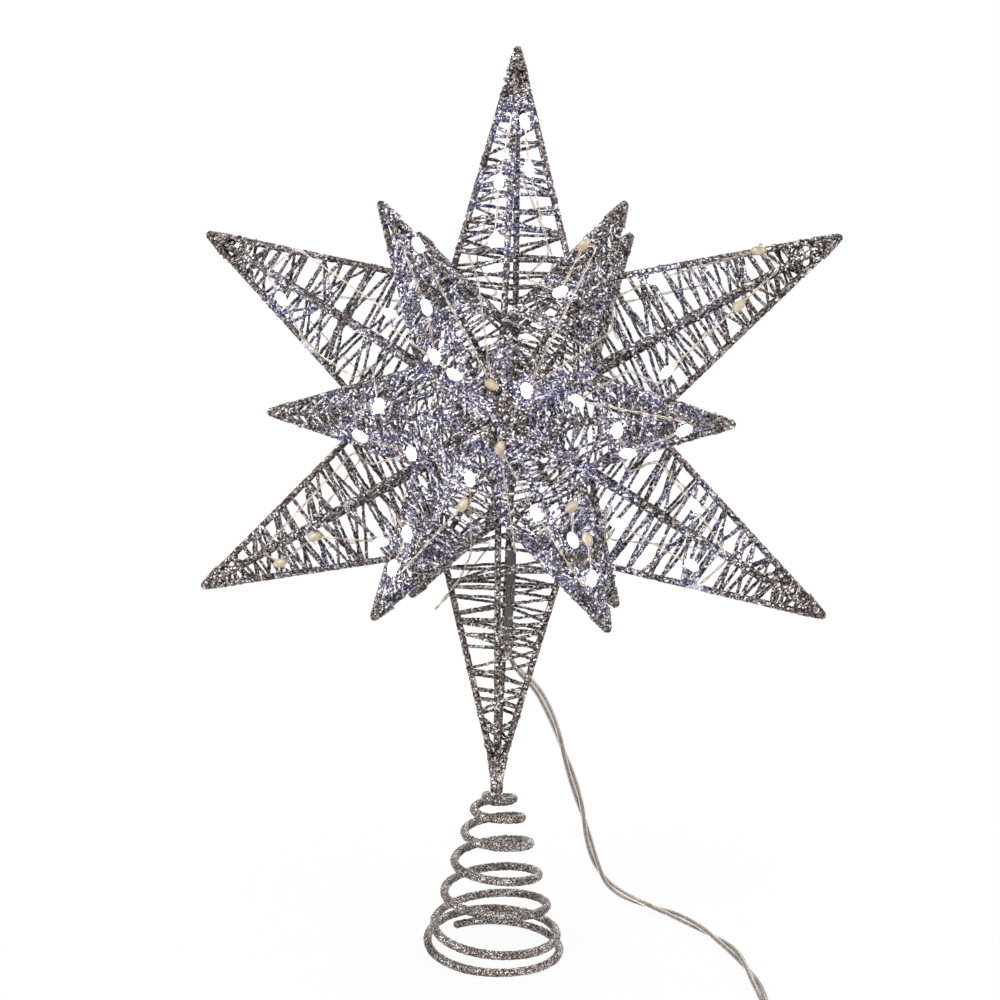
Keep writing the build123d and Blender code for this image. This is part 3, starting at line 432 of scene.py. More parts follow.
def light_string():
    """Each stop of the fine wire, from the sleeve round the front and back round the rear, with any drop."""
    exit_way = unit(SLEEVE_ENDS[1] - SLEEVE_ENDS[0])
    stops = [(SLEEVE_ENDS[1], None), (SLEEVE_ENDS[1] + FINE_EXIT * exit_way, None)]
    stops += [(star_place(BIG_HOURS[6], p), None) for p in FINE_WAY_OUT]
    for hour, drops in FRONT_DROPS.items():
        small = hour in FRONT
        stops += stretch_on_arm(FRONT[hour] if small else BIG[hour], small, 0, (CW, CCW), drops)
    foot = BIG[6]
    stops.append((place_on_face(foot, 0, CW, *BASE_STATION, DROP_R), None))
    stops.append((foot.over_wire(3, FOOT_STATION, DROP_R), None))
    stops.append((place_on_face(foot, 2, CW, *BASE_STATION, DROP_R), None))
    for hour in reversed(FRONT_DROPS):
        small = hour in REAR
        drops = {CCW: REAR_DROPS["small" if small else "big"], CW: []}
        arm, rib = (REAR[hour], 0) if small else (BIG[hour], 2)
        stops += stretch_on_arm(arm, small, rib, (CCW, CW), drops)
    return stops


STOPS = light_string()
SPOTS = np.array([spot for spot, lit in STOPS])
LIT = [i for i, (spot, lit) in enumerate(STOPS) if lit]
UNLIT = [i for i, (spot, lit) in enumerate(STOPS) if lit is False]
BRIGHT = np.array([float(STOPS[i][1]) for i in LIT])


# Meshes


def spaced(path, step):
    """Points at equal steps along a line of straight runs."""
    run = np.linalg.norm(np.diff(path, axis=0), axis=1)
    length = np.concatenate([[0], np.cumsum(run)])
    at = np.linspace(0, length[-1], int(length[-1] / step) + 2)
    return np.stack([np.interp(at, length, path[:, k]) for k in range(3)], 1)


def eased(path, reach):
    """Each point becomes the mean of its neighbours within a reach, which rounds corners; the ends stay."""
    padded = np.concatenate([np.repeat(path[:1], reach, 0), path, np.repeat(path[-1:], reach, 0)])
    total = np.concatenate([np.zeros((1, 3)), np.cumsum(padded, axis=0)])
    window = 2 * reach + 1
    return (total[window:] - total[:-window]) / window


def sides_of(path, upright):
    """At each point of a path the direction along it and two across it, the first square to upright."""
    way = unit(np.gradient(path, axis=0))
    across = unit(np.cross(way, upright))
    return way, across, np.cross(way, across)


def tube(path, radius, upright, sides, grain=0.0):
    """A ring round each point: the centre plus r cos(a) across plus r sin(a) square to it.

    Grain is the share by which each corner's r varies."""
    way, across, other = sides_of(path, upright)
    turn = 2 * np.pi * np.arange(sides) / sides
    size = np.broadcast_to(np.asarray(radius, float).reshape(-1, 1), (len(path), sides))
    size = size * (1 + grain * rng.uniform(-1, 1, (len(path), sides)))
    ring = np.cos(turn)[:, None] * across[:, None] + np.sin(turn)[:, None] * other[:, None]
    return path[:, None] + size[..., None] * ring


def skin(rings):
    """Corners and faces of a closed skin over rings of corners, with a fan over each end."""
    count, sides = rings.shape[:2]
    corner = np.arange(count * sides).reshape(count, sides)
    after = np.roll(corner, -1, axis=1)
    quads = np.stack([corner[:-1], after[:-1], after[1:], corner[1:]], -1).reshape(-1, 4)
    ends = np.stack([rings[0].mean(axis=0), rings[-1].mean(axis=0)])
    first = np.full(sides, count * sides)
    fans = [np.stack([first, after[0], corner[0]], 1), np.stack([first + 1, corner[-1], after[-1]], 1)]
    return np.concatenate([rings.reshape(-1, 3), ends]), quads, np.concatenate(fans)


def lamp_glow(points, reach):
    """How near lit drops are, for the painted light they put on the glitter: the sum over them of their
    brightness by a bell curve of the distance.
    """
    drops = SPOTS[LIT]
    away = (points ** 2).sum(1)[:, None] + (drops ** 2).sum(1)[None] - 2 * points @ drops.T
    return np.exp(-np.maximum(away, 0) / (2 * reach ** 2)) @ BRIGHT


def linked(name, data):
    obj = bpy.data.objects.new(name, data)
    bpy.context.scene.collection.objects.link(obj)
    return obj


def piece(name, skins, material, body, stands_for=(), values=None, smooth=True):
    """One mesh object out of closed skins, riding on a body; values are named numbers on its corners."""
    starts = np.cumsum([0] + [len(s[0]) for s in skins])
    points = np.concatenate([s[0] for s in skins])
    quads = np.concatenate([s[1] + at for s, at in zip(skins, starts)])
    fans = np.concatenate([s[2] + at for s, at in zip(skins, starts)])
    mesh = bpy.data.meshes.new(name)
    mesh.vertices.add(len(points))
    mesh.vertices.foreach_set("co", (points * 0.001).astype(np.float32).ravel())
    mesh.loops.add(quads.size + fans.size)
    mesh.loops.foreach_set("vertex_index", np.concatenate([quads.ravel(), fans.ravel()]).astype(np.int32))
    mesh.polygons.add(len(quads) + len(fans))
    loop_start = np.concatenate([np.arange(len(quads)) * 4, quads.size + np.arange(len(fans)) * 3])
    mesh.polygons.foreach_set("loop_start", loop_start.astype(np.int32))
    mesh.polygons.foreach_set("use_smooth", np.full(len(quads) + len(fans), smooth))
    for label, numbers in (values or {}).items():
        mesh.attributes.new(label, "FLOAT", "POINT").data.foreach_set("value", numbers.astype(np.float32))
    mesh.update(calc_edges=True)
    mesh.validate()
    obj = linked(name, mesh)
    mesh.materials.append(material)
    if body:
        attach(obj, body)
    if stands_for:
        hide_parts(*stands_for)
    return obj


def glittered(name, skins, material, body, stands_for):
    """A piece that carries painted light from the lit drops near it, as values on its corners: a near halo
    with a share of the wide spread, and the wide spread alone.
    """
    points = np.concatenate([s[0] for s in skins])
    wide_drop_light = lamp_glow(points, WIDE_LIGHT_REACH)
    values = {"glow": HALO_LIGHT * lamp_glow(points, HALO_REACH) + WIDE_LIGHT_SHARE * wide_drop_light, "wide_drop_light": wide_drop_light}
    return piece(name, skins, material, body, stands_for, values)


# Materials


def fill(tree, made, inputs):
    """Sets each input to a value, or links it where the value is an output of another node."""
    for name, value in inputs.items():
        if isinstance(value, bpy.types.NodeSocket):
            tree.links.new(value, made.inputs[name])
        else:
            made.inputs[name].default_value = value


def node(tree, kind, inputs=None, **settings):
    made = tree.nodes.new("ShaderNode" + kind)
    for name, value in settings.items():
        setattr(made, name, value)
    fill(tree, made, inputs or {})
    return made


def maths(tree, operation, *values, clamp=False):
    return node(tree, "Math", dict(enumerate(values)), operation=operation, use_clamp=clamp).outputs[0]


def vectors(tree, operation, *values):
    return node(tree, "VectorMath", dict(enumerate(values)), operation=operation).outputs[0]


def ranged(tree, value, start=(0, 1), to=(0, 1), kind="LINEAR"):
    """A value carried from one range to another and held at the ends."""
    ends = dict(zip(("From Min", "From Max", "To Min", "To Max"), (*start, *to)))
    return node(tree, "MapRange", {"Value": value, **ends}, interpolation_type=kind).outputs["Result"]


def mixed(tree, factor, first, second, kind="MIX"):
    inputs = {"Factor": factor, "A": first, "B": second}
    return node(tree, "Mix", inputs, data_type="RGBA", blend_type=kind).outputs["Result"]


def noise(tree, scale, detail=2.0):
    place = node(tree, "TexCoord").outputs["Object"]
    return node(tree, "TexNoise", {"Vector": place, "Scale": scale, "Detail": detail}).outputs["Fac"]


def attribute(tree, name):
    return node(tree, "Attribute", attribute_name=name).outputs["Fac"]


def bump(tree, height, depth, strength):
    inputs = {"Height": height, "Distance": depth, "Strength": strength}
    return node(tree, "Bump", inputs).outputs["Normal"]


def ramp(tree, share, stops, kind="LINEAR"):
    """Colour by a share, from stops given as place and linear colour."""
    made = node(tree, "ValToRGB", {"Fac": share})
    made.color_ramp.interpolation = kind
    band = made.color_ramp.elements
    while len(band) < len(stops):
        band.new(1.0)
    for element, (at, colour) in zip(band, stops):
        element.position = at
        element.color = (*colour, 1)
    return made.outputs["Color"]


def new_group(name, inputs, outputs):
    """A node group with inputs given by their first values, and its two end nodes."""
    group = bpy.data.node_groups.new(name, "ShaderNodeTree")
    for label, value in inputs.items():
        kind = "NodeSocketColor" if isinstance(value, tuple) else "NodeSocketFloat"
        group.interface.new_socket(name=label, in_out="INPUT", socket_type=kind).default_value = value
    for label, kind in outputs.items():
        group.interface.new_socket(name=label, in_out="OUTPUT", socket_type="NodeSocket" + kind)
    return group, group.nodes.new("NodeGroupInput").outputs, group.nodes.new("NodeGroupOutput")


FLAKES_PER_METRE = 1800.0
FLAKE_TILT = 0.8
# Flake colours: warm lacquer tones between a black that is a painted dark reflection and a white that is
# painted glints.
FLAKE_TONES_AND_GLINTS = [
    (0.0, (0.006, 0.005, 0.005)), (0.2, (0.03, 0.022, 0.02)), (0.38, (0.105, 0.083, 0.076)),
    (0.54, (0.21, 0.167, 0.152)), (0.64, (0.37, 0.28, 0.215)), (0.74, (0.32, 0.272, 0.262)),
    (0.81, (0.62, 0.545, 0.515)), (0.88, (1.0, 0.95, 0.94)),
]
BLACK = (0, 0, 0, 1)
# Colours of the painted light from the lit drops on the glitter.
PAINTED_GLOW_WHITE = (0.64, 0.72, 1.0, 1)
PAINTED_BLUE_LIGHT = (0.003, 0.014, 0.09, 1)
WORN = (0.82, 0.81, 0.79, 1)
GRAIN_PER_METRE = 2600.0
GRAIN_DEPTH = 0.00004


def glitter_group():
    """Flakes: a cell pattern whose random colour picks each flake's shade, the darkest a painted dark
    reflection and the whitest painted glints, and tilts its normal, over patches.

    Its light is painted light from the lit drops: the shade times a cold white by Glow, plus a painted deep
    blue light by the wide drop light in the brighter patches."""
    group, given, made = new_group(
        "glitter flakes",
        {"Flakes per metre": FLAKES_PER_METRE, "Shift": 0.0, "Tilt": FLAKE_TILT, "Glow": 0.0, "Wide drop light": 0.0},
        {"Color": "Color", "Roughness": "Float", "Normal": "Vector", "Light": "Color"})
    place = node(group, "TexCoord").outputs["Object"]
    cells = node(group, "TexVoronoi", {"Vector": place, "Scale": given["Flakes per metre"]}).outputs["Color"]
    pick = node(group, "SeparateColor", {"Color": cells}).outputs
    patches = noise(group, scale=140.0, detail=3.0)
    lifted = maths(group, "ADD", maths(group, "MULTIPLY_ADD", patches, 0.7, -0.35), given["Shift"])
    shade = ramp(group, maths(group, "ADD", lifted, pick["Red"], clamp=True), FLAKE_TONES_AND_GLINTS, "CONSTANT")
    lean = vectors(group, "SUBTRACT", cells, (0.5, 0.5, 0.5))
    tilt = node(group, "VectorMath", {0: lean, "Scale": given["Tilt"]}, operation="SCALE").outputs[0]
    tilted = vectors(group, "ADD", node(group, "NewGeometry").outputs["Normal"], tilt)
    # Painted light: a cold white halo near lit drops, and a deep blue in the brighter patches.
    halo = mixed(group, 1.0, mixed(group, given["Glow"], BLACK, PAINTED_GLOW_WHITE), shade, "MULTIPLY")
    lit_patch = ranged(group, patches, start=(0.4, 0.64), kind="SMOOTHSTEP")
    blue_light_share = maths(group, "MULTIPLY", given["Wide drop light"], lit_patch, clamp=True)
    fill(group, made, {
        "Color": shade,
        "Roughness": ranged(group, pick["Green"], to=(0.2, 0.55)),
        "Normal": vectors(group, "NORMALIZE", tilted),
        "Light": mixed(group, blue_light_share, halo, PAINTED_BLUE_LIGHT, "ADD"),
    })
    return group


def grain_group():
    """Moulded plastic: a fine noise for bump height and a broad one that varies the colour and the gloss."""
    group, given, made = new_group(
        "moulded grain",
        {"Color": (0.7, 0.7, 0.7, 1), "Grain per metre": GRAIN_PER_METRE, "Roughness": 0.45},
        {"Color": "Color", "Roughness": "Float", "Height": "Float"})
    broad = noise(group, scale=70.0, detail=4.0)
    fill(group, made, {
        "Color": mixed(group, broad, given["Color"], WORN, "MULTIPLY"),
        "Roughness": maths(group, "MULTIPLY_ADD", broad, 0.2, given["Roughness"]),
        "Height": noise(group, given["Grain per metre"]),
    })
    return group


GLITTER = glitter_group()
GRAIN = grain_group()


def new_material(name):
    material = bpy.data.materials.new(name)
    material.use_nodes = True
    return material, material.node_tree


def finished(material, inputs):
    """The material, with the inputs of its one shader filled in."""
    tree = material.node_tree
    fill(tree, tree.nodes["Principled BSDF"], inputs)
    return material


def glitter(name, shift, per_metre=FLAKES_PER_METRE, tilt=FLAKE_TILT):
    """Lacquer under loose flakes, with painted light from the lit drops nearby."""
    material, tree = new_material(name)
    near = {"Glow": attribute(tree, "glow"), "Wide drop light": attribute(tree, "wide_drop_light")}
    own = {"Flakes per metre": per_metre, "Shift": shift, "Tilt": tilt}
    flakes = node(tree, "Group", {**own, **near}, node_tree=GLITTER).outputs
    return finished(material, {
        "Base Color": flakes["Color"],
        "Roughness": flakes["Roughness"],
        "Normal": flakes["Normal"],
        "Emission Color": flakes["Light"],
        "Emission Strength": 0.9,
        "Metallic": 0.35,
    })


def moulded(name, colour, roughness, per_metre=GRAIN_PER_METRE, depth=GRAIN_DEPTH):
    material, tree = new_material(name)
    own = {"Color": (*colour, 1), "Roughness": roughness, "Grain per metre": per_metre}
    grain = node(tree, "Group", own, node_tree=GRAIN).outputs
    return finished(material, {
        "Base Color": grain["Color"],
        "Roughness": grain["Roughness"],
        "Normal": bump(tree, grain["Height"], depth, strength=0.6),
    })


def lit_resin():
    """A clear resin drop with a bright core: cold white by a noise, with a ragged blue-grey rim that is clear
    where it is seen edge on. The bright attribute makes the faint drops clear all over.

    The camera sees it just over white; the pieces round it get its full light."""
    material, tree = new_material("lit resin")
    mottle = noise(tree, scale=700.0)
    white = ramp(tree, mottle, [(0.3, (0.74, 0.81, 1.0)), (0.6, (0.9, 0.94, 1.0))])
    seen = node(tree, "LightPath").outputs["Is Camera Ray"]
    facing = node(tree, "LayerWeight", {"Blend": 0.5}).outputs["Facing"]
    ragged = maths(tree, "MULTIPLY_ADD", mottle, 0.7, facing)
    to_rim = ranged(tree, ragged, start=(0.5, 0.9), kind="SMOOTHSTEP")
    return finished(material, {
        "Base Color": white,
        "Roughness": 0.12,
        "Emission Color": mixed(tree, to_rim, white, (0.15, 0.17, 0.27, 1)),
        "Emission Strength": ranged(tree, seen, to=(LIT_STRENGTH, SEEN_STRENGTH)),
        "Alpha": ranged(tree, ragged, (1.15, 0.55), (0, attribute(tree, "bright")), "SMOOTHSTEP"),
    })


def unlit_resin():
    """Beige phosphor under clear resin: a mottled tan with a glossy coat."""
    material, tree = new_material("unlit resin")
    tans = [(0.3, (0.38, 0.29, 0.18)), (0.55, (0.58, 0.48, 0.33)), (0.75, (0.74, 0.68, 0.54))]
    return finished(material, {
        "Base Color": ramp(tree, noise(tree, scale=520.0, detail=3.0), tans),
        "Roughness": 0.16,
        "Coat Weight": 0.6,
    })


def drawn_metal(name, dark, bright, roughness, scale):
    """Drawn or plated metal: colour and gloss vary with a noise."""
    material, tree = new_material(name)
    mottle = noise(tree, scale, detail=3.0)
    return finished(material, {
        "Base Color": ramp(tree, mottle, [(0.32, dark), (0.68, bright)]),
        "Roughness": ranged(tree, mottle, to=(roughness, roughness + 0.2)),
        "Metallic": 1.0,
    })


def clear_cover():
    """The lead's clear cover: glass-like, a little warm, with a faint unevenness along it."""
    material, tree = new_material("clear cover")
    mottle = noise(tree, scale=400.0)
    return finished(material, {
        "Base Color": ramp(tree, mottle, [(0.3, (0.64, 0.59, 0.54)), (0.7, (0.86, 0.82, 0.78))]),
        "Normal": bump(tree, mottle, depth=0.00006, strength=0.4),
        "Roughness": 0.08,
        "IOR": 1.45,
        "Transmission Weight": 0.85,
    })


def cell_film():
    """A cell's film by its place along it: metal ends, a copper band at the button end, dark film between."""
    material, tree = new_material("cell film")
    along = attribute(tree, "along")
    places = (0.0, 0.03, 0.72, 0.965)
    colours = ((0.6, 0.6, 0.6), (0.035, 0.038, 0.042), (0.5, 0.27, 0.13), (0.65, 0.65, 0.64))
    metal = ((1, 1, 1), (0.2, 0.2, 0.2), (0.7, 0.7, 0.7), (1, 1, 1))
    return finished(material, {
        "Base Color": ramp(tree, along, list(zip(places, colours)), "CONSTANT"),
        "Metallic": ramp(tree, along, list(zip(places, metal)), "CONSTANT"),
        "Roughness": 0.28,
    })


WIRE_GLITTER = glitter("wire glitter", -0.05)
THREAD_GLITTER = glitter("thread glitter", -0.02, tilt=0.9)
SMALL_GLITTER = glitter("small point glitter", 0.08, tilt=0.9)
SPRING_GLITTER = glitter("spring glitter", -0.035, 3400.0, tilt=0.6)
FINE_WIRE = drawn_metal("lacquered wire", (0.33, 0.255, 0.19), (0.85, 0.76, 0.66), 0.22, 600.0)
CORE_WIRE = drawn_metal("tinned core", (0.15, 0.11, 0.08), (0.5, 0.42, 0.34), 0.25, 1500.0)
PLATED = drawn_metal("plated contact", (0.45, 0.45, 0.44), (0.75, 0.75, 0.74), 0.18, 300.0)
LIT_RESIN = lit_resin()
UNLIT_RESIN = unlit_resin()
SHRINK = moulded("shrink sleeve", (0.19, 0.178, 0.19), 0.4, 700.0, 0.0005)
CLEAR = clear_cover()
BOX_PLASTIC = moulded("box plastic", (0.57, 0.57, 0.58), 0.4)
BLACK_PLASTIC = moulded("switch plastic", (0.018, 0.018, 0.019), 0.38)
BOARD_GREEN = moulded("solder mask", (0.012, 0.09, 0.03), 0.25, 500.0, 0.00002)
CELL_FILM = cell_film()


# Star


def wire_rods(arm, tip_length):
    """Four straight bumpy tubes, each from inside the wound tip to its foot."""
    skins = []
    for foot in arm.feet:
        way = unit(foot - arm.tip)
        start = arm.tip + ROD_START * tip_length / abs(way @ arm.axis) * way
        path = spaced(np.array([start, foot + ROD_OVERLAP * way]), step=0.55)
        skins.append(skin(tube(path, 0.5 * arm.wire_d, (0, 1, 0), sides=12, grain=0.12)))
    return skins


def tip_base(arm, length):
    """The plane under a wound tip: its middle, two directions in it, its half width and reach both ways."""
    cut = arm.tip - length * arm.axis
    rim = unit(star_place(arm.angle, (0, 1, 0)) - star_place(arm.angle, (0, 0, 0)))
    rise = np.cross(arm.axis, rim)
    along = unit(arm.rungs - arm.tip)
    ends = arm.tip - along * (length / (along @ arm.axis))[:, None] - cut
    cover = arm.wire_d / 2 + TIP_SKIN
    wide = abs(ends @ rim).max() + cover
    return cut, rim, rise, wide, (ends @ rise).max() + cover, (ends @ rise).min() - cover


def wound_tip(arm, length, end_r, neck=0.0):
    """An ellipse that shrinks evenly to a circle, then a neck or a rounded end, with a ridge of thread.

    The ridge is a sine of the place along less the angle round, so it is a helix."""
    cut, rim, rise, wide, high, low = tip_base(arm, length)
    total = length + neck
    at = np.linspace(0, total, int(total / TIP_STEP))[:, None]
    share = np.minimum(at / length, 1)
    turn = np.linspace(0, 2 * np.pi, TIP_SIDES, endpoint=False)[None]
    grain = TIP_GRAIN * rng.uniform(-1, 1, (len(at), TIP_SIDES))
    ridge = TIP_RIDGE * np.sin(2 * np.pi * at / TIP_PITCH - turn) + grain
    past = ((share - TIP_ROUNDING[0]) / TIP_ROUNDING[1]).clip(0)
    close = 1.0 if neck else np.sqrt(np.clip(1 - past ** 2, 0.06, 1))
    half_wide = (wide + (end_r - wide) * share + ridge) * close
    half_high = ((high - low) / 2 + (end_r - (high - low) / 2) * share + ridge) * close
    middle = cut + at * arm.axis + (1 - share) * (high + low) / 2 * rise
    flat = (half_wide * np.cos(turn))[..., None] * rim + (half_high * np.sin(turn))[..., None] * rise
    return skin(middle[:, None] + flat)


def centre_knot(face):
    """A lumpy dome over the middle of the star: circles that shrink towards the top."""
    low = RIB_RISE - WIRE_D / 2 - KNOT_LIP
    high = SMALL_RIB_RISE + SMALL_WIRE_D / 2 + KNOT_LIP
    share = np.linspace(0, 1, KNOT_RINGS)
    radius = KNOT_R * np.sqrt(np.clip(1 - KNOT_FALL * share ** 3, 0, 1))
    path = star_place(0, (0, 0, low + (high - low) * share), face) + np.zeros((KNOT_RINGS, 3))
    return skin(tube(path, radius, (1, 0, 0), sides=20, grain=0.06))


def winding(arm, loops, start, end, thread_r, sway, ease=1.0, part_by=0.0):
    """One thread round the four wires: two corners close round each wire, its stations uneven, then eased.

    An ease over 1 sets the loops closer at the tip. The loops stand apart, and even, where the lead goes out.
    Past the foot of a wire they gather there."""
    stations = np.arange(4 * loops + 3)
    pitch = (end - start) / loops
    share = start + (end - start) * np.clip((stations - 1) / (4 * loops), 0, None) ** ease
    from_gap = (share - LEAD_GAP_AT) / PART_REACH
    by_gap = np.exp(-(from_gap / 3) ** 2)
    share = share + part_by * np.tanh(from_gap) * by_gap
    uneven = sway * pitch * rng.normal(size=len(share)) * (1 - by_gap * bool(part_by))
    share = np.clip(share + uneven, start - pitch / 4, end + pitch / 2)
    share = np.minimum(share, arm.wire_ends()[stations % 4])
    centres = arm.wire_at(stations, share)
    here = centres[1:-1]
    arrive, leave = unit(here - centres[:-2]), unit(centres[2:] - here)
    out, on = unit(arrive - leave), unit(arrive + leave)
    quarter = np.arccos(np.clip((arrive * leave).sum(1), -1, 1)) / 4
    lean = abs((unit(np.cross(arrive, leave)) * unit(arm.rungs[stations[1:-1] % 4] - arm.tip)).sum(1))
    off = THREAD_HUG * arm.wire_d / np.maximum(lean, THREAD_LEAN_LEAST)
    spread = np.tan(quarter)[:, None] * on
    corners = here[:, None] + off[:, None, None] * np.stack([out - spread, out + spread], 1)
    path = eased(spaced(corners.reshape(-1, 3), THREAD_STEP), reach=1)
    for size, reach in THREAD_WANDER:
        path = path + eased(rng.normal(0, size, path.shape), reach)
    return skin(tube(path, thread_r, arm.axis, THREAD_SIDES, THREAD_GRAIN))


def web_thread(step, radius, face):
    """One thread over the ribs round the middle of the star, given the rib and the radius at each stop."""
    over_small = step % 2 == 0
    wire_d = np.where(over_small, SMALL_WIRE_D, WIRE_D)
    small_rib = SMALL_RIB_RISE + (SMALL_TIP_DEPTH - SMALL_RIB_RISE) * radius / SMALL_TIP_R
    rib = np.where(over_small, small_rib, RIB_RISE * (1 - radius / BIG_TIP_R))
    off = wire_d / 2 + THREAD_CLEAR + SMALL_THREAD_R
    half = np.where(over_small, off / 2, WEB_HALF_OVER_BIG)
    pair = [star_place(30 * step, (radius, side * half, rib + off), face) for side in (-1, 1)]
    path = eased(spaced(np.stack(pair, 1).reshape(-1, 3), WEB_STEP), reach=1)
    return skin(tube(path, WEB_THREAD_R, (0, 1, 0), THREAD_SIDES, THREAD_GRAIN))


def centre_web(face):
    """One spiral over every rib, threads that wander between ribs, and threads that go in and out."""
    step = np.arange(12 * WEB_LOOPS + 1)
    spiral = np.linspace(*WEB_SPAN, len(step)) + rng.normal(0, WEB_UNEVEN, len(step))
    threads = [web_thread(step, spiral, face)]
    for _ in range(WEB_WANDERERS):
        step = np.cumsum(rng.choice(WANDER_STEPS, WANDER_STOPS))
        threads.append(web_thread(step, rng.uniform(*WEB_SPAN, WANDER_STOPS), face))
    for k in range(WEB_SPOKES[face]):
        step = np.cumsum(np.full(SPOKE_STOPS, 1 + k % 2)) + k
        inside = np.arange(SPOKE_STOPS) % 2 == (step[0] + k) % 2
        near, far = (rng.uniform(*span, SPOKE_STOPS) for span in (SPOKE_INSIDE, SPOKE_OUTSIDE))
        threads.append(web_thread(step, np.where(inside, near, far), face))
    return threads


def wound_from(arm, tip_length):
    """The share of the way at which the winding starts, just past the wound tip."""
    reach = ((arm.tip - arm.rungs) @ arm.axis).min()
    return (tip_length + arm.wire_d / 2 + arm.thread_r) / reach


def star_wire(name, skins, cad_node):
    glittered(name, skins, WIRE_GLITTER, "star", [cad_node])


def star_thread(name, skins, material, cad_node):
    glittered(name, skins, material, "star", [cad_node])


for hour, arm in BIG.items():
    name = f"point_{hour}"
    star_wire(f"{name}_rods", wire_rods(arm, BIG_TIP_L), f"{name}_frame")
    start = wound_from(arm, BIG_TIP_L)
    gap = LEAD_GAP if hour == 6 else 0.0
    threads = [winding(arm, BIG_LOOPS, start, 1, *BIG_THREAD, WIND_EASE, gap),
               winding(arm, FAN_LOOPS, *FAN_SPAN, *FAN_THREAD)]
    if hour in TIP_LOOPS:
        threads.append(winding(arm, TIP_LOOPS[hour], start, start + TIP_WOUND, *TIP_THREAD))
    if hour in EXTRA_LOOPS:
        threads.append(winding(arm, EXTRA_LOOPS[hour], start + TIP_WOUND, 1, *EXTRA_THREAD))
    else:
        threads.append(winding(arm, UPRIGHT_LOOPS, UPRIGHT_WOUND, 1, *UPRIGHT_THREAD, part_by=gap))
    star_thread(f"{name}_thread", threads, THREAD_GLITTER, f"{name}_winding")
for side, arms, face in (("front", FRONT, 1), ("rear", REAR, -1)):
    for hour, arm in arms.items():
        name = f"{side}_{hour}"
        length = small_tip_length(arm)
        star_wire(f"{name}_rods", wire_rods(arm, length), f"{name}_frame")
        start = wound_from(arm, length)
        threads = [winding(arm, SMALL_LOOPS, start, SMALL_WOUND_END, *SMALL_THREAD),
                   winding(arm, SMALL_TIP_LOOPS, start, SMALL_TIP_WOUND_END, *SMALL_TIP_THREAD)]
        star_thread(f"{name}_thread", threads, SMALL_GLITTER, f"{name}_winding")
    tips = [wound_tip(arm, small_tip_length(arm), TIP_END_R) for arm in arms.values()]
    star_thread(f"{side}_wound_tips", tips, WIRE_GLITTER, f"{side}_tips")
    star_thread(f"{side}_centre_web", centre_web(face), SMALL_GLITTER, f"{side}_web")
    star_wire(f"{side}_centre_knot", [centre_knot(face)], f"{side}_knot")
big_tips = [wound_tip(arm, BIG_TIP_L, TIP_END_R) for hour, arm in BIG.items() if hour != 6]
star_thread("point_wound_tips", big_tips, WIRE_GLITTER, "point_tips")
neck_length = STAR_CENTRE_Z - BIG_TIP_R - (SPRING_TOP_Z + SPRING_WIRE_R + STEM_SEAT)
stem = wound_tip(BIG[6], BIG_TIP_L, STEM_R, neck_length + STEM_SEAT)
star_thread("bound_stem", [stem], WIRE_GLITTER, "stem_binding")


# Spring foot


def spring_wire():
    """Radius and height off the profile over the turns, each the mean over a quarter turn, carried round Z.

    Between the ends a cosine of the angle raises the turns to the front right."""
    turns, radii, heights = (np.array(c) for c in zip(*SPRING_PROFILE))
    turn = np.linspace(turns[0], turns[-1], SPRING_POINTS)
    near = np.clip(turn[:, None] + np.linspace(-SPRING_EASE, SPRING_EASE, 9), turns[0], turns[-1])
    radius, height = (np.interp(near, turns, c).mean(axis=1) for c in (radii, heights))
    angle = 2 * np.pi * turn
    rising = np.clip((turn - LEAN_TURNS[0]) / LEAN_FADES[0] + 0.5, 0, 1)
    share = rising * np.clip((LEAN_TURNS[1] - turn) / LEAN_FADES[1] + 0.5, 0, 1)
    height = height + SPRING_LEAN * share * (1 + np.cos(angle + np.pi / 4))
    path = spaced(np.stack([radius * np.cos(angle), radius * np.sin(angle), height], 1), step=0.6)
    rings = tube(path, SPRING_WIRE_R, (0, 0, 1), sides=14, grain=0.1)
    rings[..., 2] = np.maximum(rings[..., 2], 0)
    return skin(rings)


spring = glittered("spring_wire", [spring_wire()], SPRING_GLITTER, "base", ["spring_foot"])
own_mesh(spring)


# Light string


def resin_drop(i, size=1.0):
    """An egg about the wire: the radius falls off to both ends as the square root of one minus the square."""
    way = unit(SPOTS[i + 1] - SPOTS[i - 1])
    share = np.sin(np.linspace(-0.5, 0.5, DROP_RINGS) * np.pi * DROP_CLOSED)
    radius = size * DROP_R * (1 - share ** 2) ** 0.5
    path = SPOTS[i] + share[:, None] * size * DROP_L / 2 * way
    return skin(tube(path, radius, STRING_UPRIGHT, sides=12, grain=0.02))


lit_skins = [resin_drop(i, LIT_SIZE) for i in LIT]
bright = np.repeat(BRIGHT, [len(drop[0]) for drop in lit_skins])
piece("lit_resin_drops", lit_skins, LIT_RESIN, "star", ["lit_drops"], {"bright": bright})
unlit_skins = [resin_drop(i) for i in UNLIT]
piece("unlit_resin_drops", unlit_skins, UNLIT_RESIN, "star", ["unlit_drops"])


def strands(path, offset, radius, pitch, upright, sides):
    """Two tubes that wind round a line, half a turn apart, once in every pitch."""
    way, across, other = sides_of(path, upright)
    step = np.linalg.norm(np.diff(path, axis=0), axis=1)
    turn = 2 * np.pi * np.concatenate([[0], np.cumsum(step)]) / pitch
    lean = np.cos(turn)[:, None] * across + np.sin(turn)[:, None] * other
    return [skin(tube(path + side * offset * lean, radius, upright, sides)) for side in (-1, 1)]


fine_line = eased(spaced(SPOTS, step=0.9), reach=3)
fine_pair = strands(fine_line, FINE_OFFSET, FINE_R, FINE_TWIST, STRING_UPRIGHT, sides=6)
piece("fine_wire_pair", fine_pair, FINE_WIRE, "star", ["fairy_wire"])


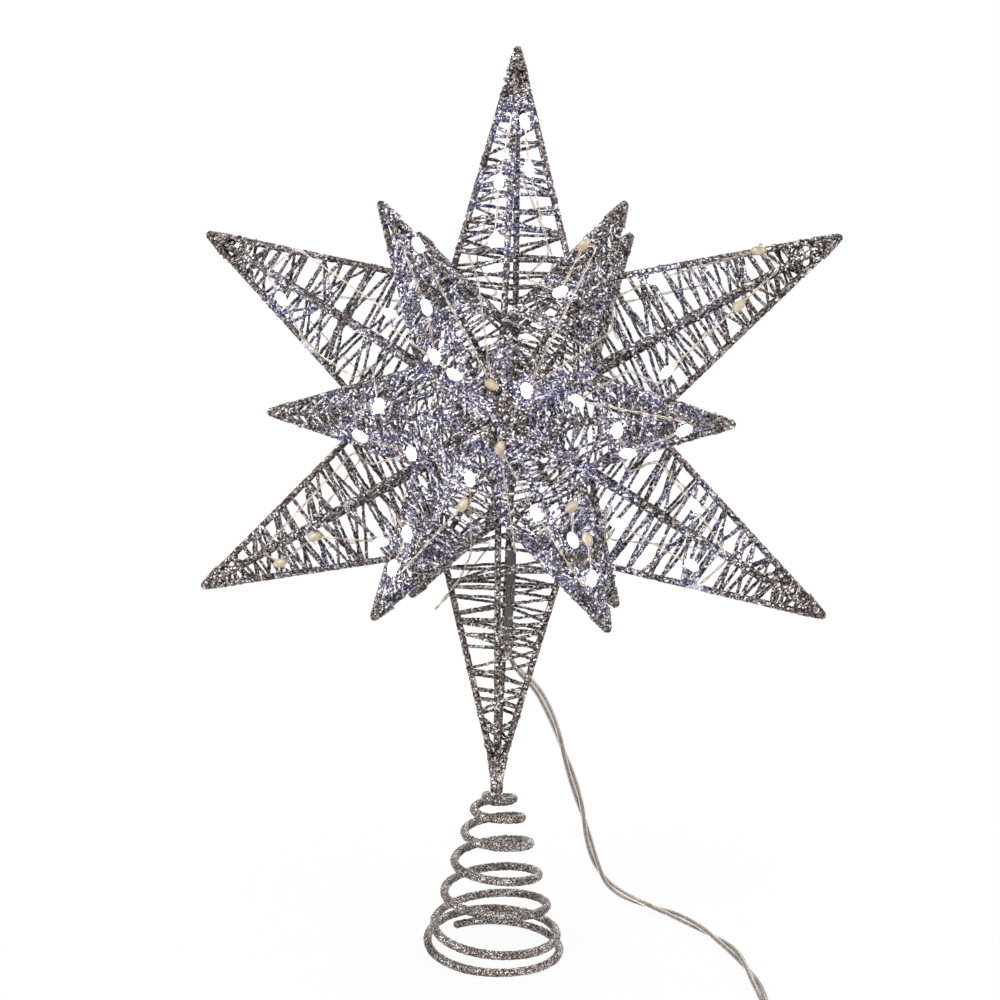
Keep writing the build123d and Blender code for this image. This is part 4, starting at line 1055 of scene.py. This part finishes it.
def shrink_sleeve():
    """A tube drawn in by a bell curve at both ends, with a ripple and a bell-shaped lump over the joint."""
    neck, neck_reach = SLEEVE_NECK
    ripple, ripples = SLEEVE_RIPPLE
    lump, lump_at, lump_reach = SLEEVE_JOINT
    path = spaced(np.array(SLEEVE_ENDS), step=0.5)
    share = np.linspace(0, 1, len(path))
    ends = neck * np.exp(-(share / neck_reach) ** 2) + neck * np.exp(-((1 - share) / neck_reach) ** 2)
    joint = ripple * np.sin(share * ripples) + lump * np.exp(-((share - lump_at) / lump_reach) ** 2)
    return skin(tube(path, SLEEVE_R * (SLEEVE_BODY - ends + joint), (1, 0, 0), sides=16, grain=0.025))


piece("shrink_sleeve", [shrink_sleeve()], SHRINK, "star", ["splice_sleeve"])


# Lead


def smooth_line(name, route):
    """The points of a NURBS line of order 3 that has the route as its control points, in millimetres."""
    line = bpy.data.curves.new(name, "CURVE")
    line.dimensions = "3D"
    line.resolution_u = 12
    run = line.splines.new("NURBS")
    run.points.add(len(route) - 1)
    run.points.foreach_set("co", np.column_stack([np.array(route) * 0.001, np.ones(len(route))]).ravel())
    run.order_u = 3
    run.use_endpoint_u = True
    holder = linked(name, line)
    bpy.context.view_layer.update()
    mesh = bpy.data.meshes.new_from_object(holder)
    points = np.empty(len(mesh.vertices) * 3, np.float32)
    mesh.vertices.foreach_get("co", points)
    bpy.data.objects.remove(holder)
    bpy.data.curves.remove(line)
    bpy.data.meshes.remove(mesh)
    return points.reshape(-1, 3).astype(float) * 1000


out = unit(SLEEVE_ENDS[0] - SLEEVE_ENDS[1])
lead_line = smooth_line("lead line", [SLEEVE_ENDS[0], SLEEVE_ENDS[0] + LEAD_EXIT * out, *LEAD_ROUTE])
lead_path = spaced(lead_line, step=0.9)
covers = strands(lead_path, LEAD_STRAND_R, LEAD_STRAND_R, LEAD_TWIST, LEAD_UPRIGHT, sides=14)
cores = strands(lead_path, LEAD_STRAND_R, LEAD_CORE_R, LEAD_TWIST, LEAD_UPRIGHT, sides=8)
lead = piece("clear_twin_lead", covers, CLEAR, None, ["lead_hanging", "lead_lying"])
lead_cores = piece("lead_cores", cores, CORE_WIRE, None)
for strand in (lead, lead_cores):
    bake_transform(strand)


# Battery box


def cell(row, way):
    """A cell turned about its own line: radii at places from the flat end to the button."""
    profile = np.array(CELL_PROFILE)
    middle = np.array([CASE_AT[0] + CELL_SHIFT + way * CELL_STAGGER, CASE_AT[1] + row, CELL_Z])
    path = middle + (profile[:, :1] - CELL_L / 2) * way * np.array([1.0, 0, 0])
    rings = tube(path, CELL_R * profile[:, 1], (0, 0, 1), CELL_SIDES)
    along = np.repeat(profile[:, 0] / CELL_L, CELL_SIDES)
    return skin(rings), np.concatenate([along, [0, 1]])


def arrow():
    """A flat triangle on the lid that narrows over its upper edge."""
    flat = np.array(ARROW)
    middle = (CASE_AT[0] + ARROW_SHIFT, CASE_AT[1])
    rings = [np.column_stack([flat * size + middle, np.full(3, CASE_TOP + z)]) for size, z in ARROW_LAYERS]
    return skin(np.stack(rings))


cells = [cell(row, way) for row, way in ((-CELL_STEP, 1), (0.0, -1), (CELL_STEP, 1))]
piece("cells", [c[0] for c in cells], CELL_FILM, "base", ["battery_cells"],
      {"along": np.concatenate([c[1] for c in cells]).clip(0, 1)})
piece("lid_arrow", [arrow()], BOX_PLASTIC, "battery_lid", smooth=False)
FINISHES = [
    (BOX_PLASTIC, ["battery_case", "battery_lid"]),
    (BLACK_PLASTIC, ["lead_grommet", "switch_body", "switch_knob"]),
    (PLATED, ["contact_springs", "contact_plates"]),
    (BOARD_GREEN, ["control_board"]),
]
for finish, cad_nodes in FINISHES:
    for cad_node in cad_nodes:
        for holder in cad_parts[cad_node].material_slots:
            holder.material = finish


# Floor, light and camera


def white_for_the_camera(tree, share=1.0):
    """A share of one for rays from the camera and for mirrored and refracted rays; nothing for the rest."""
    path = node(tree, "LightPath").outputs
    direct = maths(tree, "ADD", path["Is Camera Ray"], path["Is Glossy Ray"])
    all_seen = maths(tree, "ADD", direct, path["Is Transmission Ray"], clamp=True)
    return maths(tree, "MULTIPLY", all_seen, share)


def floor():
    """A wide flat sheet: white to the camera far off, and mostly so near the object, under its shadow."""
    mesh = bpy.data.meshes.new("floor")
    mesh.from_pydata([(-4, -4, 0), (4, -4, 0), (4, 4, 0), (-4, 4, 0)], [], [(0, 1, 2, 3)])
    obj = linked("floor", mesh)
    material, tree = new_material("floor white")
    tree.nodes.clear()
    place = node(tree, "TexCoord").outputs["Object"]
    away = node(tree, "VectorMath", {0: place}, operation="LENGTH").outputs["Value"]
    share = ranged(tree, away, FLOOR_FADE, (FLOOR_WHITE_NEAR, 1))
    paint = node(tree, "BsdfDiffuse", {"Color": FLOOR_PAINT}).outputs["BSDF"]
    white = node(tree, "Emission").outputs["Emission"]
    blend = node(tree, "MixShader", {"Fac": white_for_the_camera(tree, share), 1: paint, 2: white})
    node(tree, "OutputMaterial", {"Surface": blend.outputs["Shader"]})
    mesh.materials.append(material)


def sky():
    """White to the camera, a softer grey as light."""
    world = bpy.data.worlds.new("studio")
    world.use_nodes = True
    bpy.context.scene.world = world
    tree = world.node_tree
    tree.nodes.clear()
    soft = node(tree, "Background", {"Color": SKY_LIGHT}).outputs["Background"]
    white = node(tree, "Background", {"Color": SKY_SEEN}).outputs["Background"]
    blend = node(tree, "MixShader", {"Fac": white_for_the_camera(tree), 1: soft, 2: white})
    node(tree, "OutputWorld", {"Surface": blend.outputs["Shader"]})


def softbox(name, place, size, energy):
    data = bpy.data.lights.new(name, "AREA")
    data.size = size
    data.energy = energy
    obj = linked(name, data)
    obj.location = place
    obj.rotation_euler = (Vector(LIGHT_TARGET) - Vector(place)).to_track_quat("-Z", "Y").to_euler()


def camera():
    """Facing +Y, rolled about Y, then pitched about X, then turned about Z."""
    yaw, pitch, roll = (math.radians(a) for a in CAMERA_TURN)
    turn = Matrix.Rotation(yaw, 3, "Z") @ Matrix.Rotation(pitch, 3, "X") @ Matrix.Rotation(roll, 3, "Y")
    right, ahead, up = (turn.col[k] for k in range(3))
    data = bpy.data.cameras.new("camera")
    data.lens = CAMERA_LENS
    data.sensor_width = CAMERA_SENSOR
    data.clip_start = 0.01
    obj = linked("camera", data)
    axes = Matrix((right, up, -ahead)).transposed()
    obj.matrix_world = Matrix.LocRotScale(Vector(CAMERA_AT) * 0.001, axes, None)
    bpy.context.scene.camera = obj


floor()
sky()
for light, box in SOFTBOXES.items():
    softbox(light, *box)
camera()
bpy.context.scene.view_settings.view_transform = "Standard"
